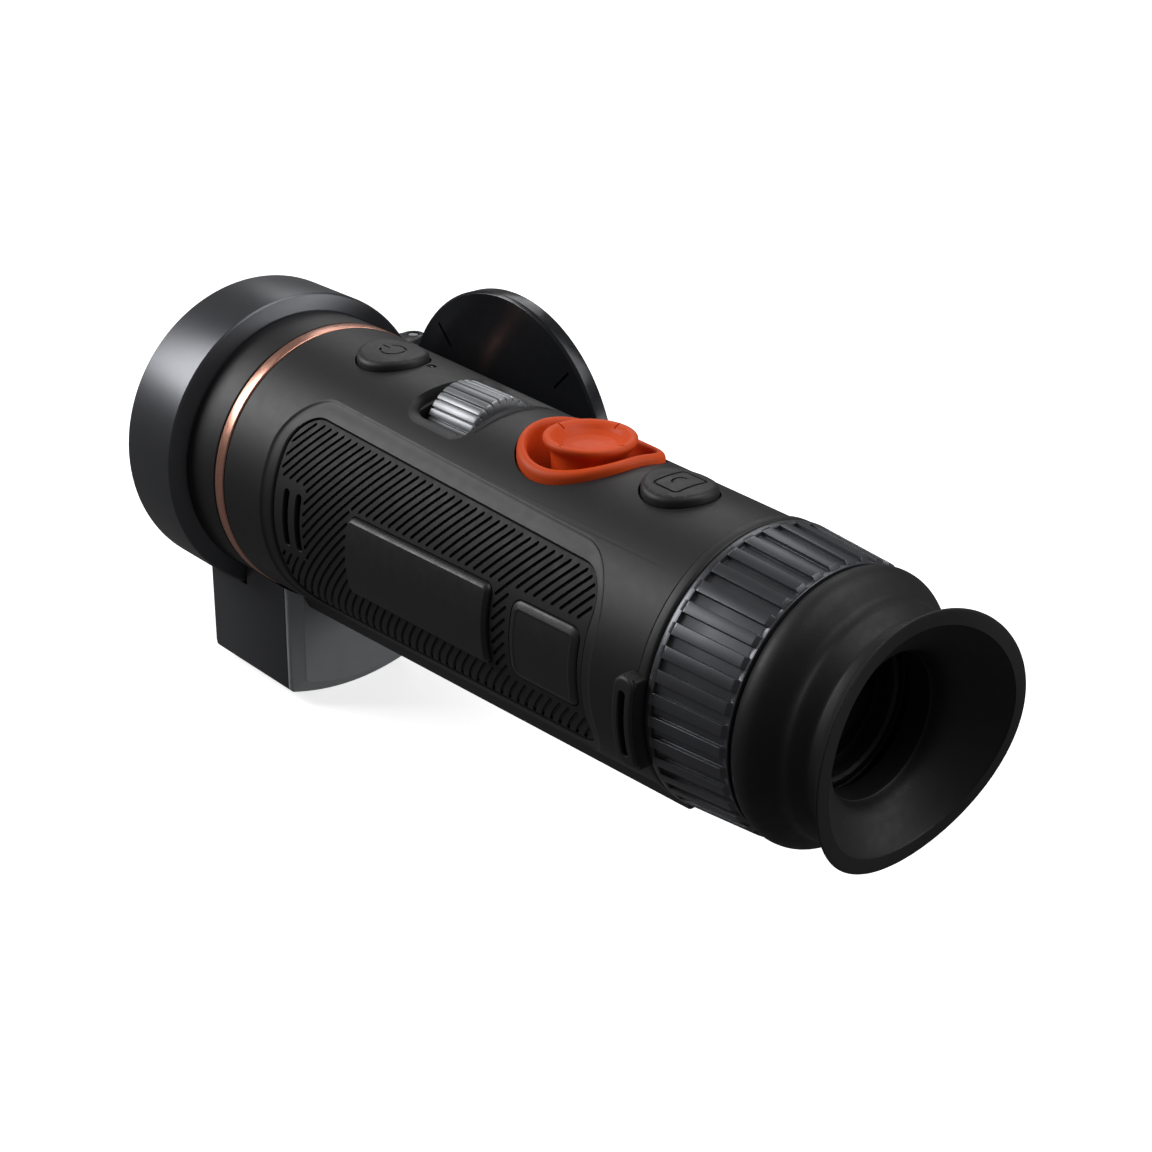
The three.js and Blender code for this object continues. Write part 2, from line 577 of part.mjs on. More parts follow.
function eyecup() {
  const sections = [];
  for (let n = 0; n < EYECUP.sides; n += 1) {
    const angle = (2 * Math.PI * n) / EYECUP.sides;
    const lip = lipHeight(angle);
    const along = (share) => -95.6 + share * (lip + 95.6);
    sections.push([
      [22, -82.8], [25.4, -82.8], [26.3, -84], [26.5, -85.6], [25.7, -87.8], [23.8, -89.8], [22.5, -92.2],
      [20.3, -95.6], [21.3, along(0.42)], [23.3, along(0.8)], [EYECUP.lipR, lip + 0.3],
      [EYECUP.lipR, lip], [EYECUP.lipInnerR, lip], [19.4, along(0.62)], [15.4, along(0.12)],
      [11.6, -91], [10.9, -90.2], [10.9, -88.6], [22, -88.6],
    ].map(([r, y]) => [r * Math.cos(angle), y, r * Math.sin(angle)]));
  }
  const count = sections[0].length;
  const index = [];
  for (let n = 0; n < EYECUP.sides; n += 1) {
    const next = (n + 1) % EYECUP.sides;
    for (let k = 0; k < count; k += 1) {
      const up = (k + 1) % count;
      index.push(n * count + k, next * count + k, next * count + up);
      index.push(n * count + k, next * count + up, n * count + up);
    }
  }
  const geometry = new THREE.BufferGeometry();
  geometry.setAttribute('position', new THREE.Float32BufferAttribute(sections.flat(2), 3));
  geometry.setIndex(index);
  return geometry;
}

function rearEnd() {
  strapRing();
  diopterRing();
  const sleeve = lathe([
    [19.5, -88.3], [SLEEVE_R, -88.3], [SLEEVE_R, -61], [24.1, -61], [24.1, -58.6], [19.5, -58.6],
  ], INNER_ROUND);
  place('eyepiece_sleeve', sleeve, GLOSS_BLACK);
  const cell = lathe([
    [13.4, -86], [CELL_R, -86], [CELL_R, -62], [16.5, -62], [16.5, -80], [13.4, -80],
  ], INNER_ROUND);
  place('diopter_cell', cell, GLOSS_BLACK);
  place('eye_lens', lathe([[0, -85.6], [7, -85.2], [13.1, -83.6], [13.1, -81.6], [0, -80.6]], 24), GLASS);
  place('eyecup', eyecup(), RUBBER);
}

// ---------------------------------------------------------------- laser rangefinder
function rangerOutline(inset) {
  const { halfWidth, side, bottom, corner, top } = RANGER;
  const w = halfWidth - inset;
  const shape = new THREE.Shape();
  shape.moveTo(w, top);
  shape.lineTo(-w, top);
  shape.lineTo(-w, side + corner + inset);
  shape.quadraticCurveTo(-w, side + inset, -w + corner, side - 0.5 + inset);
  shape.quadraticCurveTo(0, 2 * bottom - side + 0.5 + inset, w - corner, side - 0.5 + inset);
  shape.quadraticCurveTo(w, side + inset, w, side + corner + inset);
  return shape;
}

function rangefinder() {
  const barrelSeat = BARREL_R + GAP;
  const bellSeat = BELL_R + GAP;
  const step = BARREL_Y[1];
  const seat = lathe([
    [0, 50], [barrelSeat, 50], [barrelSeat, step], [bellSeat, step], [bellSeat, 110], [0, 110],
  ]);
  const cavity = box([-14.5, 14.5], [60, EYE_Y - 0.5], [-50.4, -37.6]);
  const eyes = [RECEIVER, EMITTER];
  const holes = eyes.map(({ x, r }) => rodY(r + GAP, [85, 100], x, LASER_Z, 24));
  const screw = RANGER_SCREW;
  const screwXs = [-screw.x, screw.x];
  const screwHoles = screwXs.map((x) => rodZ(screw.r + GAP, [-60, -50], x, screw.y));
  const block = rail(rangerOutline(0), RANGER.y);
  place('rangefinder_housing', cut(block, seat, cavity, ...holes, ...screwHoles), GLOSS_BLACK);
  place('rangefinder_cover', cut(rail(rangerOutline(0), RANGER_COVER_Y), seat), GREY_PLASTIC);
  screwXs.forEach((x, n) => {
    place(`rangefinder_screw_${n + 1}`, rodZ(screw.r, screw.z, x, screw.y), STEEL);
  });
  ['receiver_lens', 'emitter_lens'].forEach((name, n) => {
    const { x, r } = eyes[n];
    const lens = lathe([[0, 0], [r, 0], [r, 1.4], [r * 0.6, 1.9], [0, 2.1]], 24);
    place(name, lens.translate(x, EYE_Y, LASER_Z), GLASS);
  });
  place('rangefinder_board', box([-13, 13], [70, 71.6], [-49.6, -38.4]), BOARD);
}

// ---------------------------------------------------------------- flip-up lens cap
function lensCap() {
  const { x, y, pinR, knuckleR, halfHeight, bracketHalf } = HINGE;
  const pinHole = rodZ(pinR + GAP, [-30, 30], x, y);
  const disc = lathe([
    [0, CAP.front], [CAP.r - 1.4, CAP.front], [CAP.r, CAP.front - 1.2], [CAP.r, CAP.back + 0.3],
    [CAP.r - 0.6, CAP.back], [31.3, CAP.back], [31, CAP.back - 2.4], [29.4, CAP.back - 2.4],
    [29.4, CAP.back + 0.8], [0, CAP.back + 0.8],
  ]);
  const arms = [-1, 1].map((side) => {
    const z = side < 0 ? [-halfHeight, -bracketHalf - GAP] : [bracketHalf + GAP, halfHeight];
    const plate = box([31.5, x + knuckleR], [CAP.back, CAP.front], z);
    const web = box([x - knuckleR, x + knuckleR], [y, CAP.back + 1], z);
    return join(plate, web, rodZ(knuckleR, z, x, y));
  });
  // modelled shut, then swung open to lie beside the body
  const swing = (shape) => shape.translate(-x, -y, 0).rotateZ(Math.PI / 2).translate(x, y, 0);
  place('lens_cap', swing(cut(join(disc, ...arms), pinHole)), GLOSS_BLACK);
  const liner = rodY(28.8, [CAP.back - 0.3, CAP.back + 0.5], 0, 0, ROUND);
  place('cap_liner', swing(liner), RUBBER);

  const knuckle = rodZ(knuckleR, [-bracketHalf, bracketHalf], x, y);
  const arm = box([30, x], [y - knuckleR, y + knuckleR], [-bracketHalf, bracketHalf]);
  const foot = box([30, 38.6], [88, y + knuckleR], [-bracketHalf, bracketHalf]);
  const bell = tube(0.01, BELL_R + GAP, [70, 110]);
  place('cap_bracket', cut(join(knuckle, arm, foot), bell, pinHole), GLOSS_BLACK);
  place('hinge_pin', rodZ(pinR, [-halfHeight + 0.2, halfHeight - 0.2], x, y), STEEL);
}

housing();
tripodPad();
usbPort();
frontEnd();
focusDrive();
focusWheel();
topControls();
inside();
rearEnd();
rangefinder();
lensCap();

export default monocular;
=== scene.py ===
from math import atan2, ceil, cos, hypot, pi, radians, sin, sqrt, tan

import bmesh
import bpy
from mathutils import Matrix, Vector


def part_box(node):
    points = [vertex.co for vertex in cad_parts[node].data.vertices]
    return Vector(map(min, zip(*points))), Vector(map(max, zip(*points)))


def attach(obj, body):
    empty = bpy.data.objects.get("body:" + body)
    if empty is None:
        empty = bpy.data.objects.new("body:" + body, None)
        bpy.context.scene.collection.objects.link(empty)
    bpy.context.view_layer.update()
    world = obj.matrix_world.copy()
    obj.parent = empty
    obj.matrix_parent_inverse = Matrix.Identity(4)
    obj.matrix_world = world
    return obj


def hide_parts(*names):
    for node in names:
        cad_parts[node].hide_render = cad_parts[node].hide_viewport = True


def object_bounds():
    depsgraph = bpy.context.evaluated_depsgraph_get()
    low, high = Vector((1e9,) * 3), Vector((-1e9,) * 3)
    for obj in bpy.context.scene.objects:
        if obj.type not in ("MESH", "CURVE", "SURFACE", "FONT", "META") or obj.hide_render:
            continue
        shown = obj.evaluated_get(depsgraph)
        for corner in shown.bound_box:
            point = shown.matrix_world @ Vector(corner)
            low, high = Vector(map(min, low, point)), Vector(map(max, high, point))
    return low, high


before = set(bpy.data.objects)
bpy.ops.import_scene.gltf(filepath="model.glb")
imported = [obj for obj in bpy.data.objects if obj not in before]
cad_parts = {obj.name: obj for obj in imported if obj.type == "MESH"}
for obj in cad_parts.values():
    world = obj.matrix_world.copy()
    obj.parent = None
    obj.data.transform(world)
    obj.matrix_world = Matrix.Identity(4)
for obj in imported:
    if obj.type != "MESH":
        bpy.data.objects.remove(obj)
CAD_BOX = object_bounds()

MM = 0.001
REAR_Y, FRONT_Y = -61.2, 65.6
REAR_R, FRONT_R = 27.4, 30.78
AXIS_Z = sum(p.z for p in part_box("objective_bell")) / 2
SHIFT = Vector((0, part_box("body_shell")[0].y - REAR_Y * MM, AXIS_Z))
TO_FRAME = Matrix.Translation(SHIFT) @ Matrix.Scale(MM, 4)
GAP = 0.3
TAPER = (FRONT_R - REAR_R) / (FRONT_Y - REAR_Y)
scene = bpy.context.scene


def body_radius(y):
    return REAR_R + (y - REAR_Y) * TAPER


# ---------------------------------------------------------------- outlines
def soft(points, radius, closed=True, steps=4):
    """The outline with each corner rounded. radius is one number, or one for each point."""
    n = len(points)
    radii = list(radius) if hasattr(radius, "__len__") else [radius] * n
    made = []
    for i, p in enumerate(points):
        if (not closed and i in (0, n - 1)) or radii[i] <= 0:
            made.append(tuple(p))
            continue
        p = Vector(p[:2])
        a, b = Vector(points[i - 1][:2]) - p, Vector(points[(i + 1) % n][:2]) - p
        reach = min(a.length, b.length) * 0.49
        a.normalize()
        b.normalize()
        half = a.angle(b, pi) / 2
        if half > radians(88.5):
            made.append(tuple(p))
            continue
        t = min(radii[i] / tan(half), reach)
        r = t * tan(half)
        centre = p + (a + b).normalized() * (r / sin(half))
        start, end = p + a * t - centre, p + b * t - centre
        sweep = start.angle_signed(end)
        for k in range(steps + 1):
            turn = Matrix.Rotation(-sweep * k / steps, 2)
            made.append(tuple(centre + turn @ start))
    return made


def rounded(a, b, corner, steps=8):
    """A rectangle from a[0] to a[1] and b[0] to b[1], as a function of how far it grows."""
    def shape(grow):
        x0, x1, y0, y1 = a[0] - grow, a[1] + grow, b[0] - grow, b[1] + grow
        return soft([(x0, y0), (x1, y0), (x1, y1), (x0, y1)], max(corner + grow, 0.1), steps=steps)
    return shape


def circle(x, y, radius, count=96):
    def shape(grow):
        r = radius + grow
        turns = [2 * pi * k / count for k in range(count)]
        return [(x + r * cos(t), y + r * sin(t)) for t in turns]
    return shape


KNOB_Y = -17.9
BEZEL_Y = -16.7


def teardrop(radius, corner, count=84):
    """A circle with one square corner, rounded, towards +X and -Y."""
    def shape(grow):
        r, c = radius + grow, max(corner + grow, 0.4)
        made = [(r * cos(t), BEZEL_Y + r * sin(t)) for t in (1.5 * pi * k / count for k in range(count + 1))]
        made += [(r - c + c * cos(t), BEZEL_Y - r + c + c * sin(t))
                 for t in (1.5 * pi + 0.5 * pi * k / 12 for k in range(13))]
        return made
    return shape


def side_panel(grow):
    """The side grip's outline in Y and Z. It widens towards the front as the body does."""
    front, rear = 48.7 + grow, -46.6 - 0.8 * grow
    edge = lambda y: 19.85 + 0.041 * y + 0.93 * grow
    radii = [7 + 1.6 * grow, 7 + grow, 7 + grow, 7 + 1.6 * grow]
    corners = [(rear, -edge(rear)), (front, -edge(front)), (front, edge(front)), (rear, edge(rear))]
    return soft(corners, [max(r, 0.5) for r in radii], steps=14)


# ---------------------------------------------------------------- meshes
def solid(name, verts, faces):
    mesh = bpy.data.meshes.new(name)
    mesh.from_pydata([tuple(v) for v in verts], [], faces)
    bm = bmesh.new()
    bm.from_mesh(mesh)
    bmesh.ops.remove_doubles(bm, verts=bm.verts, dist=1e-5)
    bmesh.ops.recalc_face_normals(bm, faces=bm.faces)
    bm.to_mesh(mesh)
    bm.free()
    obj = bpy.data.objects.new(name, mesh)
    scene.collection.objects.link(obj)
    return obj


def skin(name, rows, loop=False):
    """A closed solid through rings of points. A row of one point closes an end."""
    verts, faces, starts = [], [], []
    for row in rows:
        starts.append(len(verts))
        verts += row
    pairs = list(zip(range(len(rows) - 1), range(1, len(rows))))
    if loop:
        pairs.append((len(rows) - 1, 0))
    for i, j in pairs:
        a, b, na, nb = starts[i], starts[j], len(rows[i]), len(rows[j])
        n = max(na, nb)
        for k in range(n):
            q = (k + 1) % n
            if na == 1:
                faces.append((a, b + k, b + q))
            elif nb == 1:
                faces.append((a + k, a + q, b))
            else:
                faces.append((a + k, a + q, b + q, b + k))
    if not loop:
        for i in (0, len(rows) - 1):
            if len(rows[i]) > 1:
                faces.append(tuple(range(starts[i], starts[i] + len(rows[i]))))
    return solid(name, verts, faces)


def turned(name, profile, sides=160, axis="y", at=(0, 0)):
    """A profile of (radius, height) turned about Y or Z. It closes on the axis, or on itself."""
    rows = []
    for r, h in profile:
        turns = [2 * pi * k / sides for k in range(sides)] if r > 1e-6 else [0]
        if axis == "y":
            rows.append([(at[0] + r * cos(t), h, at[1] + r * sin(t)) for t in turns])
        else:
            rows.append([(at[0] + r * cos(t), at[1] + r * sin(t), h) for t in turns])
    return skin(name, rows, loop=profile[0][0] > 1e-6)


def rod(name, radius, ends, axis="y", at=(0, 0), sides=48, edge=0.0):
    corners = [(0, ends[0]), (radius, ends[0]), (radius, ends[1]), (0, ends[1])]
    return turned(name, soft(corners, edge, closed=False) if edge else corners, sides, axis, at)


def divide(points, counts):
    made = []
    for i, p in enumerate(points):
        q = points[(i + 1) % len(points)]
        for k in range(counts[i]):
            s = k / counts[i]
            made.append((p[0] + (q[0] - p[0]) * s, p[1] + (q[1] - p[1]) * s))
    return made


def on_round(face, p, radius):
    """A point of an outline put on a round surface. Sides are drawn in Y and Z, top and bottom in X and Y."""
    if face in ("left", "right"):
        y, z = p
        r = radius(y)
        x = sqrt(max(r * r - z * z, 0))
        return (-x if face == "left" else x, y, z)
    x, y = p
    r = radius(y)
    z = sqrt(max(r * r - x * x, 0))
    return (x, y, z if face == "top" else -z)


def on_plane(face, p, value):
    return (value, p[0], p[1]) if face in ("left", "right") else (p[0], p[1], value)


def drape(name, shape, face, levels, loop=False, radius=body_radius, step=1.4, rings=12, cap=(True, True)):
    """A solid through rings of the outline, each grown, at a depth below the surface or at ("flat", height)."""
    base = shape(0)
    counts = []
    for i, p in enumerate(base):
        q = base[(i + 1) % len(base)]
        counts.append(max(1, ceil(hypot(q[0] - p[0], q[1] - p[1]) / step)))
    middle = [sum(p[k] for p in base) / len(base) for k in (0, 1)]

    def ring(grow, depth, share=1.0):
        points = divide(shape(grow), counts)
        points = [tuple(m + (v - m) * share for v, m in zip(p, middle)) for p in points]
        if isinstance(depth, tuple):
            return [on_plane(face, p, depth[1]) for p in points]
        return [on_round(face, p, lambda y: radius(y) - depth) for p in points]

    def cover(grow, depth):
        if isinstance(depth, tuple):
            return [[on_plane(face, middle, depth[1])]]
        inner = [ring(grow, depth, 1 - (k + 1) / rings) for k in range(rings - 1)]
        return inner + [[on_round(face, middle, lambda y: radius(y) - depth)]]

    rows = [ring(*level) for level in levels]
    if not loop:
        first, last = levels[0], levels[-1]
        rows = list(reversed(cover(*first))) * cap[0] + rows + cover(*last) * cap[1]
    return skin(name, rows, loop)


def upright(name, shape, levels, axis="z"):
    """A solid whose rings are the outline, grown, at each height. axis is the way the outline faces."""
    rows = []
    for grow, height in levels:
        if axis == "z":
            rows.append([(a, b, height) for a, b in shape(grow)])
        elif axis == "y":
            rows.append([(a, height, b) for a, b in shape(grow)])
        else:
            rows.append([(height, a, b) for a, b in shape(grow)])
    return skin(name, rows)


def brick(name, x, y, z, edge=0.3):
    shape = rounded(x, y, max(edge, 0.02), steps=3)
    if not edge:
        return upright(name, shape, [(0, z[0]), (0, z[1])])
    ends = [(-edge, z[0]), (-edge * 0.3, z[0] + edge * 0.3), (0, z[0] + edge)]
    ends += [(0, z[1] - edge), (-edge * 0.3, z[1] - edge * 0.3), (-edge, z[1])]
    return upright(name, shape, ends)


def strips(name, paths, face, out, into, closed=False, radius=body_radius):
    """Narrow solids along paths of (point, half width), from one depth to another below the round surface."""
    verts, faces = [], []
    for path in paths:
        n, start = len(path), len(verts)
        for i, (p, half) in enumerate(path):
            before = path[i - 1][0] if closed or i else p
            after = path[(i + 1) % n][0] if closed or i < n - 1 else p
            along = Vector((after[0] - before[0], after[1] - before[1])).normalized()
            across = Vector((-along.y, along.x)) * half
            for side, depth in ((-1, out), (1, out), (1, into), (-1, into)):
                q = (p[0] + side * across.x, p[1] + side * across.y)
                verts.append(on_round(face, q, lambda y: radius(y) - depth))
        for i in range(n if closed else n - 1):
            j = (i + 1) % n
            for k in range(4):
                q = (k + 1) % 4
                faces.append((start + 4 * i + k, start + 4 * i + q, start + 4 * j + q, start + 4 * j + k))
        if not closed:
            faces.append(tuple(start + k for k in range(4)))
            faces.append(tuple(start + 4 * (n - 1) + k for k in range(4)))
    return solid(name, verts, faces)


def straight(a, b, width, step=1.2):
    """A path from a to b with rounded ends, for strips()."""
    a, b = Vector(a), Vector(b)
    length = (b - a).length
    half = width / 2
    ends = [(0, 0.3), (0.12 * half, 0.55), (0.4 * half, 0.85), (half, 1)]
    middle = max(1, int((length - width) / step))
    stops = [(s, w) for s, w in ends]
    stops += [(half + (length - width) * k / middle, 1) for k in range(1, middle)]
    stops += [(length - s, w) for s, w in reversed(ends)]
    return [(tuple(a + (b - a) * (s / length)), half * w) for s, w in stops]


def boolean(target, tools, how):
    for tool in tools:
        mod = target.modifiers.new("cut", "BOOLEAN")
        mod.object, mod.operation, mod.solver = tool, how, "EXACT"
        made = bpy.data.meshes.new_from_object(target.evaluated_get(bpy.context.evaluated_depsgraph_get()))
        target.modifiers.clear()
        target.data = made
        bpy.data.objects.remove(tool)
    return target


def cut(target, *tools):
    return boolean(target, tools, "DIFFERENCE")


def join(target, *tools):
    return boolean(target, tools, "UNION")


def transform(obj, matrix):
    obj.data.transform(matrix)
    return obj


def true_normals(mesh, skins, tolerance=0.06):
    """Faces that lie on a cone about the optical axis are shaded as that cone."""
    normals = [Vector((0, 0, 0))] * len(mesh.loops)
    found = False
    for face in mesh.polygons:
        for depth in skins:
            points = [mesh.vertices[v].co for v in face.vertices]
            off = [abs(hypot(p.x, p.z) - body_radius(p.y) + depth) for p in points]
            if max(off) < tolerance and abs(face.normal.y) < 0.2:
                for loop in face.loop_indices:
                    p = mesh.vertices[mesh.loops[loop].vertex_index].co
                    normals[loop] = Vector((p.x, -TAPER * hypot(p.x, p.z), p.z)).normalized()
                found = True
    if found:
        mesh.normals_split_custom_set(normals)


def finish(obj, body, material, *nodes, skins=(), angle=34):
    """Puts a piece in the frame, on its body, with its finish, in place of its CAD nodes."""
    mesh = obj.data
    mesh.materials.clear()
    mesh.materials.append(MATERIALS[material])
    for face in mesh.polygons:
        face.use_smooth = True
        face.material_index = 0
    mesh.set_sharp_from_angle(angle=radians(angle))
    if skins:
        true_normals(mesh, skins)
    mesh.transform(TO_FRAME)
    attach(obj, body)
    if nodes:
        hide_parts(*nodes)
    return obj


# ---------------------------------------------------------------- materials
def noise_node(nodes, links, coords, size, detail=3.0, rough=0.55):
    node = nodes.new("ShaderNodeTexNoise")
    node.inputs["Scale"].default_value = 1 / size
    node.inputs["Detail"].default_value = detail
    node.inputs["Roughness"].default_value = rough
    links.new(coords, node.inputs["Vector"])
    return node


def remap(nodes, links, source, low, high, band=(0.3, 0.7)):
    node = nodes.new("ShaderNodeMapRange")
    node.inputs["From Min"].default_value, node.inputs["From Max"].default_value = band
    node.inputs["To Min"].default_value, node.inputs["To Max"].default_value = low, high
    links.new(source, node.inputs["Value"])
    return node.outputs["Result"]


def linear(hexa):
    parts = [int(hexa[k:k + 2], 16) / 255 for k in (1, 3, 5)]
    return [p / 12.92 if p <= 0.04045 else ((p + 0.055) / 1.055) ** 2.4 for p in parts]


def plastic(name, colour, roughness, metallic=0.0, tint=0.08, spread=0.05, grain=0.00025, relief=0.00002,
            patch=0.006, coat=0.0, coat_roughness=0.2, specular=0.5, streak=None, pattern=None):
    """A finish with its own grain: colour and roughness drift over patches, and fine grain stands in relief."""
    material = bpy.data.materials.new(name)
    material.use_nodes = True
    nodes, links = material.node_tree.nodes, material.node_tree.links
    shader = nodes["Principled BSDF"]
    shader.inputs["Metallic"].default_value = metallic
    shader.inputs["Specular IOR Level"].default_value = specular
    shader.inputs["Coat Weight"].default_value = coat
    shader.inputs["Coat Roughness"].default_value = coat_roughness
    where = nodes.new("ShaderNodeTexCoord").outputs["Object"]
    if streak:
        stretch = nodes.new("ShaderNodeMapping")
        stretch.inputs["Scale"].default_value = streak
        links.new(where, stretch.inputs["Vector"])
        where = stretch.outputs["Vector"]
    drift = noise_node(nodes, links, where, patch)
    base = linear(colour)
    mix = nodes.new("ShaderNodeMix")
    mix.data_type = "RGBA"
    mix.inputs["A"].default_value = [c * (1 - tint) for c in base] + [1]
    mix.inputs["B"].default_value = [min(1, c * (1 + tint)) for c in base] + [1]
    links.new(remap(nodes, links, drift.outputs["Fac"], 0, 1), mix.inputs["Factor"])
    colour_out = mix.outputs["Result"]
    if pattern:
        colour_out = pattern(nodes, links, where, colour_out)
    links.new(colour_out, shader.inputs["Base Color"])
    wear = noise_node(nodes, links, where, patch * 0.4, 4)
    links.new(remap(nodes, links, wear.outputs["Fac"], max(0.02, roughness - spread), min(1, roughness + spread)),
              shader.inputs["Roughness"])
    fine = noise_node(nodes, links, where, grain, 2)
    bump = nodes.new("ShaderNodeBump")
    bump.inputs["Distance"].default_value = relief
    bump.inputs["Strength"].default_value = 1
    links.new(fine.outputs["Fac"], bump.inputs["Height"])
    links.new(bump.outputs["Normal"], shader.inputs["Normal"])
    return material


def board_tracks(nodes, links, where, base):
    """Copper tracks and pads under green mask."""
    cells = nodes.new("ShaderNodeTexBrick")
    cells.inputs["Scale"].default_value = 220
    cells.inputs["Color1"].default_value = (0.015, 0.11, 0.05, 1)
    cells.inputs["Color2"].default_value = (0.02, 0.16, 0.07, 1)
    cells.inputs["Mortar"].default_value = (0.35, 0.22, 0.07, 1)
    cells.inputs["Mortar Size"].default_value = 0.03
    links.new(where, cells.inputs["Vector"])
    mix = nodes.new("ShaderNodeMix")
    mix.data_type = "RGBA"
    mix.inputs["Factor"].default_value = 0.6
    links.new(base, mix.inputs["A"])
    links.new(cells.outputs["Color"], mix.inputs["B"])
    return mix.outputs["Result"]


MATERIALS = {
    "shell_charcoal": plastic("shell_charcoal", "#1d1d1f", 0.5, tint=0.03, spread=0.02, grain=0.00018, relief=0.000012,
                              specular=0.45),
    "button_black": plastic("button_black", "#202022", 0.52, tint=0.05, grain=0.0002, relief=0.00001),
    "grip_rubber": plastic("grip_rubber", "#1a1a1c", 0.62, tint=0.08, grain=0.0003, relief=0.00002, specular=0.4),
    "eyecup_rubber": plastic("eyecup_rubber", "#151516", 0.55, tint=0.08, grain=0.00035, relief=0.00002,
                             specular=0.4),
    "panel_black": plastic("panel_black", "#222224", 0.42, tint=0.04, grain=0.0002, relief=0.000008),
    "bell_black": plastic("bell_black", "#5a5b5f", 0.34, metallic=0.7, tint=0.02, spread=0.01, grain=0.00015,
                          relief=0.000002),
    "cap_black": plastic("cap_black", "#2a2b2e", 0.22, metallic=0.4, tint=0.04, grain=0.0006, relief=0.0000008),
    "inner_black": plastic("inner_black", "#111113", 0.6, tint=0.06, grain=0.0002, relief=0.00001),
    "ranger_grey": plastic("ranger_grey", "#a3a6a8", 0.5, tint=0.04, grain=0.0002, relief=0.00001),
    "accent_copper": plastic("accent_copper", "#d9a08c", 0.3, metallic=0.85, tint=0.05, grain=0.0004,
                             relief=0.000004, streak=(1, 8, 1)),
    "signal_orange": plastic("signal_orange", "#dd501c", 0.5, tint=0.04, grain=0.0002, relief=0.000006,
                             specular=0.25),
    "wheel_grey": plastic("wheel_grey", "#8c8e91", 0.38, metallic=0.5, tint=0.05, grain=0.0003, relief=0.000008,
                          streak=(1, 0.15, 1)),
    "germanium": plastic("germanium", "#2a2320", 0.08, metallic=0.7, tint=0.05, spread=0.02, grain=0.002,
                         relief=0.000001, coat=1.0, coat_roughness=0.03),
    "optical_glass": plastic("optical_glass", "#0c0f13", 0.06, tint=0.1, spread=0.02, grain=0.002, relief=0.000001,
                             coat=1.0, coat_roughness=0.02),
    "steel": plastic("steel", "#a7aaae", 0.32, metallic=1.0, tint=0.05, grain=0.0003, relief=0.000006,
                     streak=(1, 1, 6)),
    "brass": plastic("brass", "#b08d4a", 0.34, metallic=1.0, tint=0.07, grain=0.0003, relief=0.000006),
    "circuit_board": plastic("circuit_board", "#1f5a3a", 0.5, tint=0.1, pattern=board_tracks),
    "cell_wrap": plastic("cell_wrap", "#2f5f9a", 0.42, tint=0.06, grain=0.0008, relief=0.00001),
    "liner_cloth": plastic("liner_cloth", "#1c1c1e", 0.9, tint=0.15, grain=0.0004, relief=0.00008),
}

INSIDE = {
    "steel": ["sensor_core", "usb_port", "focus_shaft", "knob_gimbal", "knob_switch", "power_switch",
              "photo_switch", "hinge_pin"],
    "inner_black": ["shutter", "focus_cell", "knob_rocker", "knob_base", "objective_cell"],
    "circuit_board": ["main_board", "power_board", "photo_board", "rangefinder_board"],
    "brass": ["focus_ring", "focus_pinion", "battery_contact"],
    "cell_wrap": ["battery"],
    "germanium": ["focus_lens"],
    "optical_glass": ["display"],
}
for material, names in INSIDE.items():
    for name in names:
        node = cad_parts[name]
        node.data.materials.clear()
        node.data.materials.append(MATERIALS[material])

# ---------------------------------------------------------------- body shell
WHEEL = {"y": (8.4, 22.6), "z": 22.5, "r": 8.7, "face": 6.2, "bore": 1.8}
PLATE = rounded((-20.6, 22.7), (-8.3, 8.3), 1.6)
TOUCH = rounded((-45.0, -26.8), (-8.0, 8.0), 2.4)
VENTS = [rounded((y - 0.8, y + 0.8), (-5.3, 7.3), 0.78, steps=6) for y in (40.2, 44.4)]
PANEL_DEPTH = 0.9
FRAME_EDGE = 3.7
PHOTO_Y, PHOTO_R = -42.7, 7.3
POWER_Y, POWER_R = 44.9, 7.7
LED = (3.3, 35.9)


def pocket(grow):
    """The mouth of the focus wheel's pocket: it flares sideways, and hardly at all fore and aft."""
    half = 10.6 + grow
    corners = [(-half, 6 - 0.05 * grow), (half, 6 - 0.05 * grow), (half, 25.3 + 0.1 * grow), (-half, 25.3 + 0.1 * grow)]
    return soft(corners, [3, 3, 5.2 + 0.4 * grow, 5.2 + 0.4 * grow], steps=10)


LIP = [(1.2, -3), (0.3, -0.03), (0.1, 0.06), (0, 0.25)]


def bottom_rail(side):
    """One of the two low rails under the body, ramped at both ends."""
    rows = []
    lifts = {-60.8: 0.6, -60.5: 0.2, -60.1: 0.03, 60.3: 0.03, 60.7: 0.2, 61.0: 0.6}
    for y in sorted(list(lifts) + [-59 + 4 * k for k in range(30)]):
        s = (y + 60.8) / 121.8
        inner, outer, foot = 8.6 + 2 * s, 11.6 + 1.8 * s, -27.9 - 2.7 * s + lifts.get(y, 0)
        under = lambda x: -sqrt((body_radius(y) - 1.2) ** 2 - x * x)
        outline = soft([(inner, under(inner)), (inner, foot), (outer, foot), (outer + 2.6, under(outer + 2.6))],
                       [0.05, 0.4, 0.5, 0.05])
        rows.append([(side * x, y, z) for x, z in outline])
    return skin("rail", rows)


